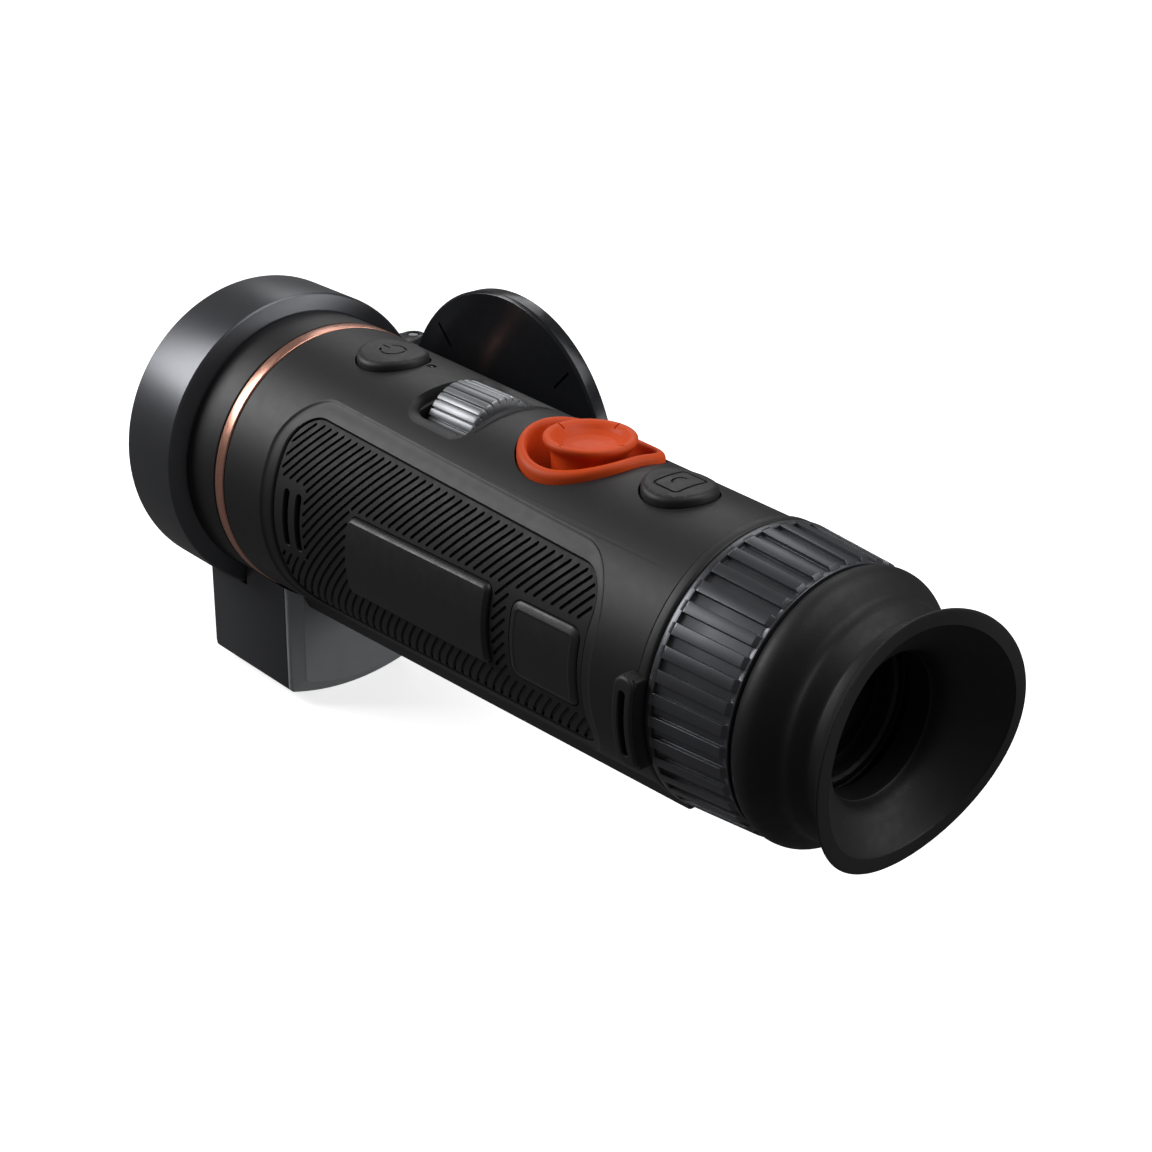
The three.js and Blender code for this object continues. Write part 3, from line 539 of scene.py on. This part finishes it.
def body_shell():
    profile = [(REAR_R - 2.6, REAR_Y), (REAR_R, REAR_Y), (FRONT_R, FRONT_Y), (FRONT_R - 2.6, FRONT_Y)]
    shell = turned("body_shell_detail", soft(profile, 0.3), sides=320)
    frame_levels = [(9, -5), (FRAME_EDGE + 0.35, -0.12), (FRAME_EDGE, 0.0), (FRAME_EDGE - 0.25, 0.08),
                    (FRAME_EDGE - 0.6, 0.26), (FRAME_EDGE - 0.9, 0.34), (2.0, 0.4), (0.6, 0.5), (0.3, 0.55),
                    (0.1, 0.7), (0, 0.95), (0, 1.5)]
    tools = []
    for side in ("left", "right"):
        tools.append(drape("frame", side_panel, side, frame_levels, rings=16))
        tools += [drape("vent", vent, side, [(0, 0.5), (0, 2.3)], rings=3) for vent in VENTS]
    tools.append(drape("hole", circle(0, POWER_Y, POWER_R + GAP), "top", LIP + [(0, ("flat", 22))]))
    tools.append(drape("hole", circle(0, PHOTO_Y, PHOTO_R + GAP), "top", LIP + [(0, ("flat", 20))]))
    tools.append(drape("hole", teardrop(13.4 + GAP, 8.5 + GAP), "top", LIP + [(0, ("flat", 20))]))
    tools.append(drape("hole", pocket, "top", [
        (5.2, -3), (3.7, -0.1), (3.3, 0.02), (2.7, 0.2), (1.8, 0.55), (0.9, 0.95), (0.25, 1.4), (0, 1.9),
        (0, ("flat", 20))]))
    tools.append(drape("hole", circle(*LED, 1.05, 32), "top", [(0.7, -2), (0.1, -0.02), (0, 0.2), (0, ("flat", 22))]))
    half = 7.5 + GAP
    plate = rounded((-half, half), (-9 - GAP, 25 + GAP), 2 + GAP)
    tools.append(drape("hole", plate, "bottom", [(0, ("flat", -40)), (0, ("flat", -20))]))
    flap = rounded((-5.9, 5.9), (-46 - GAP, -33.4 + GAP), 2)
    tools.append(drape("hole", flap, "bottom", LIP + [(0, ("flat", -20))]))
    join(shell, bottom_rail(-1), bottom_rail(1))
    cut(shell, *tools)
    finish(shell, "housing", "shell_charcoal", "body_shell", skins=(0,))


# ---------------------------------------------------------------- side grips
RIB_PITCH = 1.71
RIB_ALONG = Vector((0.69, -0.724))
RIB_ACROSS = Vector((0.724, 0.69))
RIB_START = 23.26
GROOVE = 0.68


def inside_box(p, a, b, margin):
    return a[0] - margin < p.x < a[1] + margin and b[0] - margin < p.y < b[1] + margin


def inside_outline(p, outline):
    """Whether a point is inside a convex outline."""
    n = len(outline)
    for i in range(n):
        a, b = outline[i], outline[(i + 1) % n]
        if (b[0] - a[0]) * (p.y - a[1]) - (b[1] - a[1]) * (p.x - a[0]) < 0:
            return False
    return True


def grooves():
    """The diagonal grooves, cut where they would run into the plate, the pad, the vents or the panel's edge."""
    edge = side_panel(-0.9)
    made = []
    for k in range(-48, 24):
        start = RIB_ACROSS * (RIB_START + k * RIB_PITCH)
        run = []
        for n in range(-700, 701):
            p = start + RIB_ALONG * (n * 0.15)
            ok = inside_outline(p, edge)
            ok = ok and not inside_box(p, (-20.6, 22.7), (-8.3, 8.3), 0.9)
            ok = ok and not inside_box(p, (-45, -26.8), (-8, 8), 1.5)
            ok = ok and not inside_box(p, (39.6, 60), (-6, 8.2), 1.2)
            if ok:
                run.append(p.copy())
            if run and not ok or n == 700:
                if len(run) > 8:
                    made.append((run[0], run[-1]))
                run = []
    return made


def side_fittings(side):
    grip = drape(f"{side}_grip_detail", lambda g: side_panel(g - 0.25), side, [
        (0, 1.45), (0, PANEL_DEPTH + 0.15), (-0.06, PANEL_DEPTH + 0.04), (-0.2, PANEL_DEPTH)], rings=18)
    lines = [straight(a, b, GROOVE) for a, b in grooves()]
    tools = [strips("grooves", lines, side, PANEL_DEPTH - 0.8, 1.4)]
    for shape in (PLATE, TOUCH):
        tools.append(drape("hole", lambda g, s=shape: s(g + 0.25), side, [(0, -1), (0, 2.2)], rings=6))
    for vent in VENTS:
        levels = [(0.5, -1), (0.3, PANEL_DEPTH - 0.1), (0.12, PANEL_DEPTH + 0.08), (0, PANEL_DEPTH + 0.3), (0, 2.2)]
        tools.append(drape("hole", vent, side, levels, rings=3))
    cut(grip, *tools)
    finish(grip, "housing", "grip_rubber", f"{side}_grip", skins=(PANEL_DEPTH,), angle=40)
    plate = drape(f"{side}_nameplate_detail", PLATE, side, [
        (0, 1.45), (0, 0.45), (-0.06, 0.3), (-0.55, -0.2), (-0.72, -0.29), (-0.95, -0.3)], rings=14)
    finish(plate, "housing", "panel_black", f"{side}_nameplate", skins=(-0.3,))
    pad = drape(f"{side}_touch_pad_detail", TOUCH, side, [
        (0, 1.45), (0, 0.95), (-0.08, 0.8), (-0.3, 0.66), (-0.5, 0.6), (-1.3, 0.34), (-1.45, 0.32), (-1.6, 0.36),
        (-1.85, 0.44), (-2.1, 0.45)], rings=12)
    finish(pad, "housing", "panel_black", f"{side}_touch_pad", skins=(0.45,))


# ---------------------------------------------------------------- underside
def underside():
    plate = upright("tripod_plate_detail", rounded((-7.5, 7.5), (-9, 25), 2), [
        (-0.5, -29.4), (-0.15, -29.25), (0, -28.9), (0, -26.2), (-0.3, -25.8)])
    cut(plate, rod("hole", 4.8, (-40, -20), "z", (0, 2)), rod("hole", 2.1, (-40, -20), "z", (0, 16.5)),
        turned("hole", [(0, -30), (3.0, -30), (2.1, -28.9), (0, -28.9)], 48, "z", (0, 16.5)))
    finish(plate, "housing", "steel", "tripod_plate")
    wall = [(3.1 if k % 2 else 3.35, -29.0 + 0.24 * k) for k in range(19)]
    insert = turned("tripod_insert_detail", [(3.6, -29.2), (4.4, -29.2), (4.5, -29.1), (4.5, -24.5), (3.2, -24.5)]
                    + list(reversed(wall)), 64, "z", (0, 2))
    finish(insert, "housing", "brass", "tripod_insert", angle=60)
    flap = drape("usb_cover_detail", rounded((-5.6, 5.6), (-46, -33.4), 1.7), "bottom", [
        (0, 1.5), (0, 0.3), (-0.12, 0.08), (-0.4, 0.0)], rings=10)
    cut(flap, drape("grip", rounded((-3, 3), (-45.2, -44.3), 0.4), "bottom", [(0.3, -1), (0.1, 0), (0, 0.4)], rings=3))
    finish(flap, "usb_cover", "grip_rubber", "usb_cover", skins=(0,))


# ---------------------------------------------------------------- front end
def sag(r, radius):
    """How far a round surface falls away at a distance from its middle."""
    return radius - sqrt(radius * radius - r * r)


def front_end():
    ring = turned("accent_ring_detail", soft([(28.6, 65.9), (30.95, 65.9), (30.95, 69), (28.6, 69)],
                                             [.1, .3, .3, .1]), 256)
    finish(ring, "housing", "accent_copper", "accent_ring")
    barrel = turned("front_barrel_detail", soft([(28.6, 69.3), (31, 69.3), (31, 79.7), (28.6, 79.7)], 0.2), 256)
    finish(barrel, "housing", "shell_charcoal", "front_barrel")
    bell = turned("objective_bell_detail", soft([
        (28.9, 80), (31.3, 80), (34.7, 80.75), (35.1, 81.2), (35.1, 98.2),
        (34.2, 99.2), (33.1, 99.2), (32.3, 98.4), (32.3, 95.6), (31.5, 95.4), (31.5, 94.4), (30.9, 94.2),
        (30.9, 93.2), (30.2, 93), (29.3, 91.2), (28.9, 91.2)],
        [.1, .15, .3, .3, .5, .3, .4, .4, .2, .1, .1, .1, .1, .1, .2, .1]), 256)
    finish(bell, "housing", "bell_black", "objective_bell", angle=45)
    front = [(r, 92 - sag(r, 108)) for r in (0, 4, 8, 12, 16, 20, 24, 27, 28.3)]
    back = [(r, 84.0 + sag(r, 300)) for r in (28.3, 24, 18, 12, 6, 0)]
    lens = turned("objective_lens_detail", front + back, 192)
    finish(lens, "housing", "germanium", "objective_lens")
    retainer = turned("lens_retainer_detail", soft([
        (26.4, 89.2), (28.6, 89.2), (28.6, 90.8), (27.2, 90.8), (26.4, 90.0)], 0.12), 192)
    cut(retainer, *[brick("slot", (a, b), (90.3, 92), (-0.6, 0.6), 0) for a, b in ((-29, -27.3), (27.3, 29))])
    finish(retainer, "housing", "bell_black", "lens_retainer")


# ---------------------------------------------------------------- top controls
def focus_wheel():
    ribs, rows = 28, []
    section = [(-0.40, -0.16), (-0.37, -0.03), (-0.2, 0.02), (0, 0.04), (0.2, 0.02), (0.37, -0.03), (0.40, -0.16),
               (0.425, -0.62), (0.5, -0.68), (0.575, -0.62)]
    for drop, y in ((0.9, 8.4), (0.35, 8.5), (0.1, 8.75), (0, 9.2), (0, 21.8), (0.1, 22.25), (0.35, 22.5), (0.9, 22.6)):
        row = []
        for rib in range(ribs):
            for share, out in section:
                t = 2 * pi * (rib + share) / ribs
                r = WHEEL["r"] - 0.04 - drop + out
                row.append((r * cos(t), y, WHEEL["z"] + r * sin(t)))
        rows.append(row)
    turns = [atan2(p[2] - WHEEL["z"], p[0]) for p in rows[0]]
    face, bore = ([[(r * cos(t), y, WHEEL["z"] + r * sin(t)) for t in turns] for y in WHEEL["y"]]
                  for r in (WHEEL["face"], WHEEL["bore"]))
    wheel = skin("focus_wheel_detail", [bore[0], face[0]] + rows + [face[1], bore[1]], loop=True)
    finish(wheel, "focus_wheel", "wheel_grey", "focus_wheel", angle=30)

    rim = drape("wheel_tub_detail", rounded((-11.2, 11.2), (6.3, 25.2), 2.7), "top", [
        (0, ("flat", 12)), (0, 2.2), (-0.3, 1.95), (-0.9, 1.95), (-1.2, 2.2), (-1.2, ("flat", 13.2))])
    cut(rim, rod("hole", WHEEL["bore"], (0, 30), "y", (0, WHEEL["z"])))
    finish(rim, "housing", "inner_black", "wheel_tub")

    # a low ridge along the rear edge of the pocket, highest in the middle
    rows = []
    for k in range(41):
        s = -1 + 2 * k / 40
        x, rise = 10.5 * s, 0.62 * (1 - s * s) ** 0.7
        y = 5.35 - 0.5 * s * s
        half = 0.75 * (1 - s * s) ** 0.4 + 0.02
        row = []
        for n in range(12):
            t = 2 * pi * n / 12
            p = (x, y + half * cos(t))
            row.append(on_round("top", p, lambda v: body_radius(v) - 0.25 + (rise + 0.27) * sin(t)))
        rows.append(row)
    ridge = skin("wheel_guard", rows)
    finish(ridge, "housing", "shell_charcoal")


def ring_path(x, y, radius, start, end, width, count=28):
    """An arc for strips(), in degrees from +X."""
    turns = [radians(start + (end - start) * k / count) for k in range(count + 1)]
    return [((x + radius * cos(t), y + radius * sin(t)), width / 2) for t in turns]


def buttons():
    for name, y, r, seat, proud in (("power", POWER_Y, POWER_R, 28.5, 1.6), ("photo", PHOTO_Y, PHOTO_R, 26.0, 1.7)):
        fillet = [(0, 0.95), (-0.05, 0.7), (-0.18, 0.42), (-0.42, 0.2), (-0.75, 0.06), (-1.15, 0)]
        cap = drape(f"{name}_button_detail", circle(0, y, r), "top",
                    [(0, ("flat", seat)), (0, 0.05)] + [(grow, drop - proud) for grow, drop in fillet], rings=12)
        line, out, into = 0.5, -proud - 1, 0.35 - proud
        if name == "power":
            marks = [ring_path(0, y, 2.7, 122, 418, line)]
            bar = [straight((0, y + 1.0), (0, y + 3.6), line)]
            tools = [strips("icon", marks, "top", out, into), strips("icon", bar, "top", out, into)]
        else:
            frame_line = divide(rounded((-4.1, 4.1), (y - 3.1, y + 3.1), 0.9, steps=5)(0), [1] * 24)
            tools = [strips("icon", [[(p, line / 2) for p in frame_line]], "top", out, into, closed=True),
                     strips("icon", [ring_path(0, y - 0.6, 1.9, 20, 160, line)], "top", out, into)]
        cut(cap, *tools)
        join(cap, rod("plunger", 1.5, (seat - 0.5, seat + 0.4), "z", (0, y), 32))
        finish(cap, f"{name}_button", "button_black", f"{name}_button", skins=(-proud,))
    lamp = turned("status_led_detail", [(0, 29.75), (0.35, 29.68), (0.65, 29.45), (0.8, 29.1), (0.8, 27.4), (0, 27.4)],
                  32, "z", LED)
    finish(lamp, "housing", "optical_glass", "status_led")


def control_knob():
    wall = drape("knob_bezel_detail", teardrop(13.4, 8.5), "top", [
        (0, ("flat", 19)), (0, 0.6), (-0.02, -0.5), (-0.1, -0.9), (-0.32, -1.25), (-0.65, -1.45), (-1.05, -1.5),
        (-1.45, -1.42), (-1.8, -1.15), (-2.0, -0.7), (-2.1, 0.0), (-2.1, ("flat", 19))], loop=True, step=1.0)
    finish(wall, "housing", "signal_orange", "knob_bezel", angle=60)

    profile = [(0, 14.7), (1.3, 14.7), (1.3, 21), (7.8, 21), (7.6, 22.2), (7.5, 24), (7.5, 26), (7.6, 27.2),
               (7.85, 28.3), (8.3, 29.1), (8.9, 29.8), (9.2, 30.3), (9.2, 30.8), (8.95, 31.15), (8.4, 31.28),
               (7.7, 31.1), (7.1, 30.75), (6.4, 30.0), (5.2, 29.3), (3.4, 28.9), (1.6, 28.75), (0, 28.7)]
    knob = turned("control_knob_detail", soft(profile, [0, .3, .2, .3] + [.4] * 16 + [0], closed=False, steps=3), 160,
                  "z", (0, KNOB_Y))
    ticks = []
    for k in range(4):
        tick = brick("tick", (6.7, 8.6), (-0.2, 0.2), (30.5, 32), 0)
        tilt = Matrix.Translation((0, KNOB_Y, 0)) @ Matrix.Rotation(pi / 2 * k + 0.1, 4, "Z")
        ticks.append(transform(tick, tilt))
    cut(knob, *ticks)
    finish(knob, "control_knob", "signal_orange", "control_knob", angle=42)


# ---------------------------------------------------------------- rear end
LUG_R = 30.9


def strap_ring():
    ring = turned("strap_ring_detail", soft([(22, -63.9), (28, -63.9), (28, -61.5), (22, -61.5)],
                                            [.1, .7, .3, .1]), 256)
    for side in ("left", "right"):
        outer = rounded((-63.7, -58.6), (-12.2, 6.6), 2.3, steps=10)
        loop = drape("lug", outer, side, [
            (-0.2, 3.05), (0, 2.85), (0, 0.75), (-0.08, 0.42), (-0.25, 0.18), (-0.5, 0.03), (-0.75, 0)],
            radius=lambda y: LUG_R, step=0.8, rings=10)
        slot = drape("slot", rounded((-61.9, -60.4), (-9.4, 3.8), 0.7), side, [
            (0.5, -2), (0.25, -0.02), (0.08, 0.1), (0, 0.3), (0, 6)], radius=lambda y: LUG_R, step=0.8, rings=4)
        cut(loop, slot)
        foot = drape("foot", rounded((-63.8, -61.6), (-12, 6.4), 0.6), side, [(0, 0), (0, 3.5)],
                     radius=lambda y: LUG_R - 0.6, step=1.0, rings=3)
        join(ring, loop, foot)
    finish(ring, "housing", "shell_charcoal", "strap_ring", angle=40)


def diopter_ring():
    count, rows = 40, []
    section = [(-0.262, 0.1), (-0.25, 0.03), (-0.225, 0), (0, 0), (0.225, 0), (0.25, 0.03), (0.262, 0.1),
               (0.272, 0.92), (0.285, 1), (0.5, 1), (0.715, 1), (0.728, 0.92)]
    stations = [(-64.2, 27.6, 0), (-64.35, 27.95, 0), (-64.7, 28.1, 0), (-65.7, 28.02, 0), (-65.78, 27.97, 0.25),
                (-65.84, 28.0, 0.7), (-66.1, 27.98, 0.75), (-72, 27.5, 0.75), (-81.0, 26.75, 0.75),
                (-81.3, 26.7, 0.75), (-81.5, 26.5, 0.6), (-81.9, 26.0, 0.02), (-82.3, 25.95, 0), (-82.4, 25.85, 0)]
    for y, r, depth in stations:
        row = []
        for rib in range(count):
            for share, sunk in section:
                t = 2 * pi * (rib + share + 0.25) / count
                q = r - sunk * depth
                row.append((q * cos(t), y, q * sin(t)))
        rows.append(row)
    turns = [atan2(p[2], p[0]) for p in rows[0]]
    for y in (-82.4, -64.2):
        rows.append([(22.1 * cos(t), y, 22.1 * sin(t)) for t in turns])
    ring = skin("diopter_ring_detail", rows, loop=True)
    finish(ring, "diopter_ring", "bell_black", "diopter_ring", angle=28)


def lip_height(t):
    lean = -0.067 * 24.94 * cos(t) - 0.045 * 24.94 * sin(t)
    return -102.3 + lean - 1.37 * cos(2 * t) - 0.43 * sin(2 * t)


def spline(points, steps=5, closed=True):
    """A smooth curve through the points."""
    made, n = [], len(points)
    for i in range(n if closed else n - 1):
        places = [(i + k) % n if closed else max(0, min(n - 1, i + k)) for k in (-1, 0, 1, 2)]
        a, b, c, d = (Vector(points[place]) for place in places)
        for k in range(steps):
            s = k / steps
            made.append(tuple(0.5 * (2 * b + (c - a) * s + (2 * a - 5 * b + 4 * c - d) * s * s
                                     + (3 * b - a - 3 * c + d) * s ** 3)))
    if not closed:
        made.append(tuple(points[-1]))
    return made


def eyecup():
    sides, rows = 160, []
    for n in range(sides):
        t = 2 * pi * n / sides
        lip = lip_height(t)
        along = lambda share: -95.6 + share * (lip + 95.6)
        outside = [(25.1, -82.8), (25.7, -83.1), (26.3, -84.1), (26.5, -85.4), (26.2, -86.9), (25.3, -88.3),
                   (24.0, -89.6), (23.0, -90.6), (22.6, -91.6), (22.4, -92.8), (21.5, -94.2), (20.6, -95.6),
                   (20.6, along(0.14)), (21.3, along(0.42)), (22.3, along(0.64)), (23.6, along(0.84)),
                   (24.7, along(0.96)), (24.98, lip + 0.18), (24.9, lip - 0.02), (24.6, lip - 0.12),
                   (22.3, lip - 0.12), (22.1, lip - 0.08), (21.9, lip + 0.2)]
        inside = [(18.6, along(0.56)), (15.2, along(0.1)), (14.1, -93.6), (13.9, -93.2), (13.8, -91.6),
                  (13.7, -90.0), (13.7, -88.7)]
        section = spline(outside, 4, closed=False) + spline(inside, 4, closed=False)
        section += [(13.9, -88.6), (21.9, -88.6), (22.0, -88.5), (22.0, -82.9), (22.1, -82.8)]
        rows.append([(r * cos(t), y, r * sin(t)) for r, y in section])
    cup = skin("eyecup_detail", rows, loop=True)
    finish(cup, "eyecup", "eyecup_rubber", "eyecup", angle=50)


def eyepiece():
    sleeve = turned("eyepiece_sleeve_detail", soft([
        (19.5, -88.3), (21.7, -88.3), (21.7, -61), (24.1, -61), (24.1, -58.6), (19.5, -58.6)], 0.2), 128)
    finish(sleeve, "housing", "inner_black", "eyepiece_sleeve")
    cell = turned("diopter_cell_detail", soft([
        (13.4, -85.4), (13.9, -86), (14.6, -86), (14.7, -85.7), (15.6, -85.7), (15.7, -86), (19.1, -86), (19.1, -62),
        (16.5, -62), (16.5, -80), (13.4, -80)], 0.12), 160)
    finish(cell, "diopter_cell", "inner_black", "diopter_cell")
    back = [(r, -85.6 + sag(r, 44)) for r in (0, 3, 6, 9, 11.5, 13.1)]
    front = [(r, -80.6 - sag(r, 90)) for r in (13.1, 10, 7, 3.5, 0)]
    finish(turned("eye_lens_detail", back + front, 96), "diopter_cell", "optical_glass", "eye_lens")


# ---------------------------------------------------------------- laser rangefinder
def ranger_outline(grow):
    """The rangefinder's outline in X and Z: straight sides and a slightly bowed bottom."""
    half, top, side, bottom = 17.5 + grow, -22.0, -52.2 - grow, -55.0 - grow
    bow = []
    for k in range(17):
        s = -1 + k / 8
        bow.append((half * s, bottom + (side - bottom) * s * s))
    corners = [(half, top), (-half, top)] + bow
    radii = [0.1, 0.1] + [3.2] + [0] * 15 + [3.2]
    return soft(corners, radii, steps=8)


def seat_tool():
    return turned("seat", [(0, 50), (31.3, 50), (31.3, 79.7), (35.4, 79.7), (35.4, 110), (0, 110)], 256)


def rangefinder():
    body = upright("rangefinder_housing_detail", ranger_outline, [
        (-0.3, 64.6), (-0.1, 64.66), (0, 64.85), (0, 94.6), (-0.3, 95.3), (-0.9, 95.6)], "y")
    screws = [(-11, 70), (11, 70)]
    cut(body, seat_tool(), brick("cavity", (-14.5, 14.5), (60, 92.4), (-50.4, -37.6), 0),
        *[rod("hole", 1.5, (-60, -50), "z", at) for at in screws])
    for x, r in ((-6.2, 6.4), (8.6, 4.4)):
        cut(body, turned("eye", [(0, 85), (r + GAP, 85), (r + GAP, 95.1), (r + 0.9, 95.8), (r + 0.9, 98), (0, 98)], 96,
                         "y", (x, -44.8)))
    finish(body, "housing", "bell_black", "rangefinder_housing")

    def face(grow):
        inner = ranger_outline(0.75 * grow)
        return [(x * (1 + grow * 0.018), z) for x, z in inner]
    cover = upright("rangefinder_cover_detail", face, [
        (-0.1, 64.3), (0, 64.2), (0, 63.6), (-0.15, 63.3), (-0.4, 63.05), (-2.7, 61.95), (-3.0, 61.8), (-3.2, 61.64),
        (-3.5, 61.6)], "y")
    cut(cover, seat_tool())
    finish(cover, "housing", "ranger_grey", "rangefinder_cover", angle=12)
    for n, at in enumerate(screws):
        head = turned(f"rangefinder_screw_{n + 1}_detail", soft([
            (0, -53.6), (1.2, -53.6), (1.2, -50.6), (0, -50.6)], 0.15, closed=False), 48, "z", at)
        cut(head, turned("hex", [(0, -54.6), (0.65, -54.6), (0.65, -52.8), (0, -52.8)], 6, "z", at))
        finish(head, "housing", "steel", f"rangefinder_screw_{n + 1}")
    for name, x, r in (("receiver_lens", -6.2, 6.4), ("emitter_lens", 8.6, 4.4)):
        dome = [(r * s, 95 - 0.7 * s * s) for s in (0, 0.2, 0.4, 0.6, 0.8, 0.92, 1)]
        window = turned(f"{name}_detail", dome + [(r, 92.9), (0, 92.9)], 96, "y", (x, -44.8))
        finish(window, "housing", "optical_glass", name)


# ---------------------------------------------------------------- flip-up lens cap
PIN = (43.6, 95.6)
SWING = Matrix.Translation((*PIN, 0)) @ Matrix.Rotation(pi / 2, 4, "Z") @ Matrix.Translation((-PIN[0], -PIN[1], 0))


def lens_cap():
    """Modelled shut, then swung open to lie beside the body."""
    disc = turned("lens_cap_detail", soft([
        (0, 103.6), (34.6, 103.6), (35.2, 103.0), (35.2, 99.9), (34.6, 99.6), (31.3, 99.6), (31.0, 97.2),
        (29.4, 97.2), (29.4, 100.4), (0, 100.4)], [0, .25, .25, .2, .2, .15, .2, .2, .1, 0], closed=False), 256)
    x = PIN[0]
    for z in ((-13.4, -8.2), (8.2, 13.4)):
        join(disc, brick("arm", (31.5, x + 2.8), (99.6, 103.6), z, 0.4),
             brick("web", (x - 2.8, x + 2.8), (95.6, 101.5), z, 0.4),
             rod("knuckle", 2.8, z, "z", PIN, 48, 0.3))
    ticks = []
    for k in range(4):
        tick = brick("tick", (26, 32.6), (103.0, 105), (-0.3, 0.3), 0)
        ticks.append(transform(tick, Matrix.Rotation(pi / 4 + pi / 2 * k, 4, "Y")))
    cut(disc, *ticks, rod("hole", 1.5, (-30, 30), "z", PIN, 32))
    finish(transform(disc, SWING), "lens_cap", "cap_black", "lens_cap")
    liner = turned("cap_liner_detail", [(0, 99.75), (10, 99.72), (20, 99.7), (28.4, 99.72), (28.8, 99.9),
                                        (28.8, 100.3), (0, 100.3)], 128)
    finish(transform(liner, SWING), "lens_cap", "liner_cloth", "cap_liner")

    bracket = rod("cap_bracket_detail", 2.8, (-7.9, 7.9), "z", PIN, 64, 0.3)
    join(bracket, brick("arm", (30, x), (92.8, 98.4), (-7.9, 7.9), 0.4),
         brick("foot", (30, 38.6), (88, 98.4), (-7.9, 7.9), 0.6))
    cut(bracket, turned("bell", [(0, 70), (35.4, 70), (35.4, 110), (0, 110)], 256),
        rod("hole", 1.5, (-30, 30), "z", PIN, 32))
    finish(bracket, "housing", "bell_black", "cap_bracket")


body_shell()
side_fittings("left")
side_fittings("right")
underside()
front_end()
focus_wheel()
buttons()
control_knob()
strap_ring()
diopter_ring()
eyecup()
eyepiece()
rangefinder()
lens_cap()

# ---------------------------------------------------------------- studio
CAMERA_AT = Vector((-244.767, -287.458, 170.153))
RIGHT = Vector((0.749676, -0.661578, 0.01731))
UP = Vector((0.266568, 0.325799, 0.907081))
AHEAD = Vector((0.605745, 0.675403, -0.420599))
lens = bpy.data.cameras.new("camera")
lens.sensor_width = 36
lens.lens = 63.554
lens.clip_start, lens.clip_end = 0.01, 20
camera = bpy.data.objects.new("camera", lens)
camera.matrix_world = Matrix.Translation(TO_FRAME @ CAMERA_AT) @ Matrix((RIGHT, UP, -AHEAD)).transposed().to_4x4()
scene.collection.objects.link(camera)
scene.camera = camera

low = CAD_BOX[0].z
floor_mesh = bpy.data.meshes.new("floor")
FAR = 6
floor_mesh.from_pydata([(-FAR, -FAR, low), (FAR, -FAR, low), (FAR, FAR, low), (-FAR, FAR, low)], [], [(0, 1, 2, 3)])
floor = bpy.data.objects.new("floor", floor_mesh)
scene.collection.objects.link(floor)
pale = bpy.data.materials.new("floor_white")
pale.use_nodes = True
paint = pale.node_tree.nodes["Principled BSDF"].inputs
paint["Base Color"].default_value = (0.9, 0.9, 0.9, 1)
paint["Roughness"].default_value = 0.9
paint["Emission Color"].default_value = (1, 1, 1, 1)
paint["Emission Strength"].default_value = 0.75
floor_mesh.materials.append(pale)
floor.visible_glossy = False
floor.visible_diffuse = False


def softbox(name, place, target, size, power):
    light = bpy.data.lights.new(name, "AREA")
    light.shape = "RECTANGLE"
    light.size, light.size_y = size
    light.energy = power
    obj = bpy.data.objects.new(name, light)
    obj.location = place
    obj.rotation_euler = (Vector(target) - Vector(place)).to_track_quat("-Z", "Y").to_euler()
    scene.collection.objects.link(obj)
    return obj


softbox("top_box", (0.35, -0.4, 0.95), (0, -0.04, 0), (0.8, 0.8), 6)
softbox("front_box", (-0.65, 0.95, 0.7), (0, 0.05, 0.03), (0.6, 0.6), 10)
softbox("rim_box", (0.6, 0.7, 0.7), (0, -0.05, 0.03), (0.5, 0.5), 1.6)
softbox("rear_box", (0.8, -1.0, 0.25), (0, 0.05, 0.01), (0.6, 0.4), 3)
world = bpy.data.worlds.new("studio")
world.use_nodes = True
world.node_tree.nodes["Background"].inputs["Color"].default_value = (1, 1, 1, 1)
world.node_tree.nodes["Background"].inputs["Strength"].default_value = 0.1
scene.world = world
scene.view_settings.view_transform = "Standard"
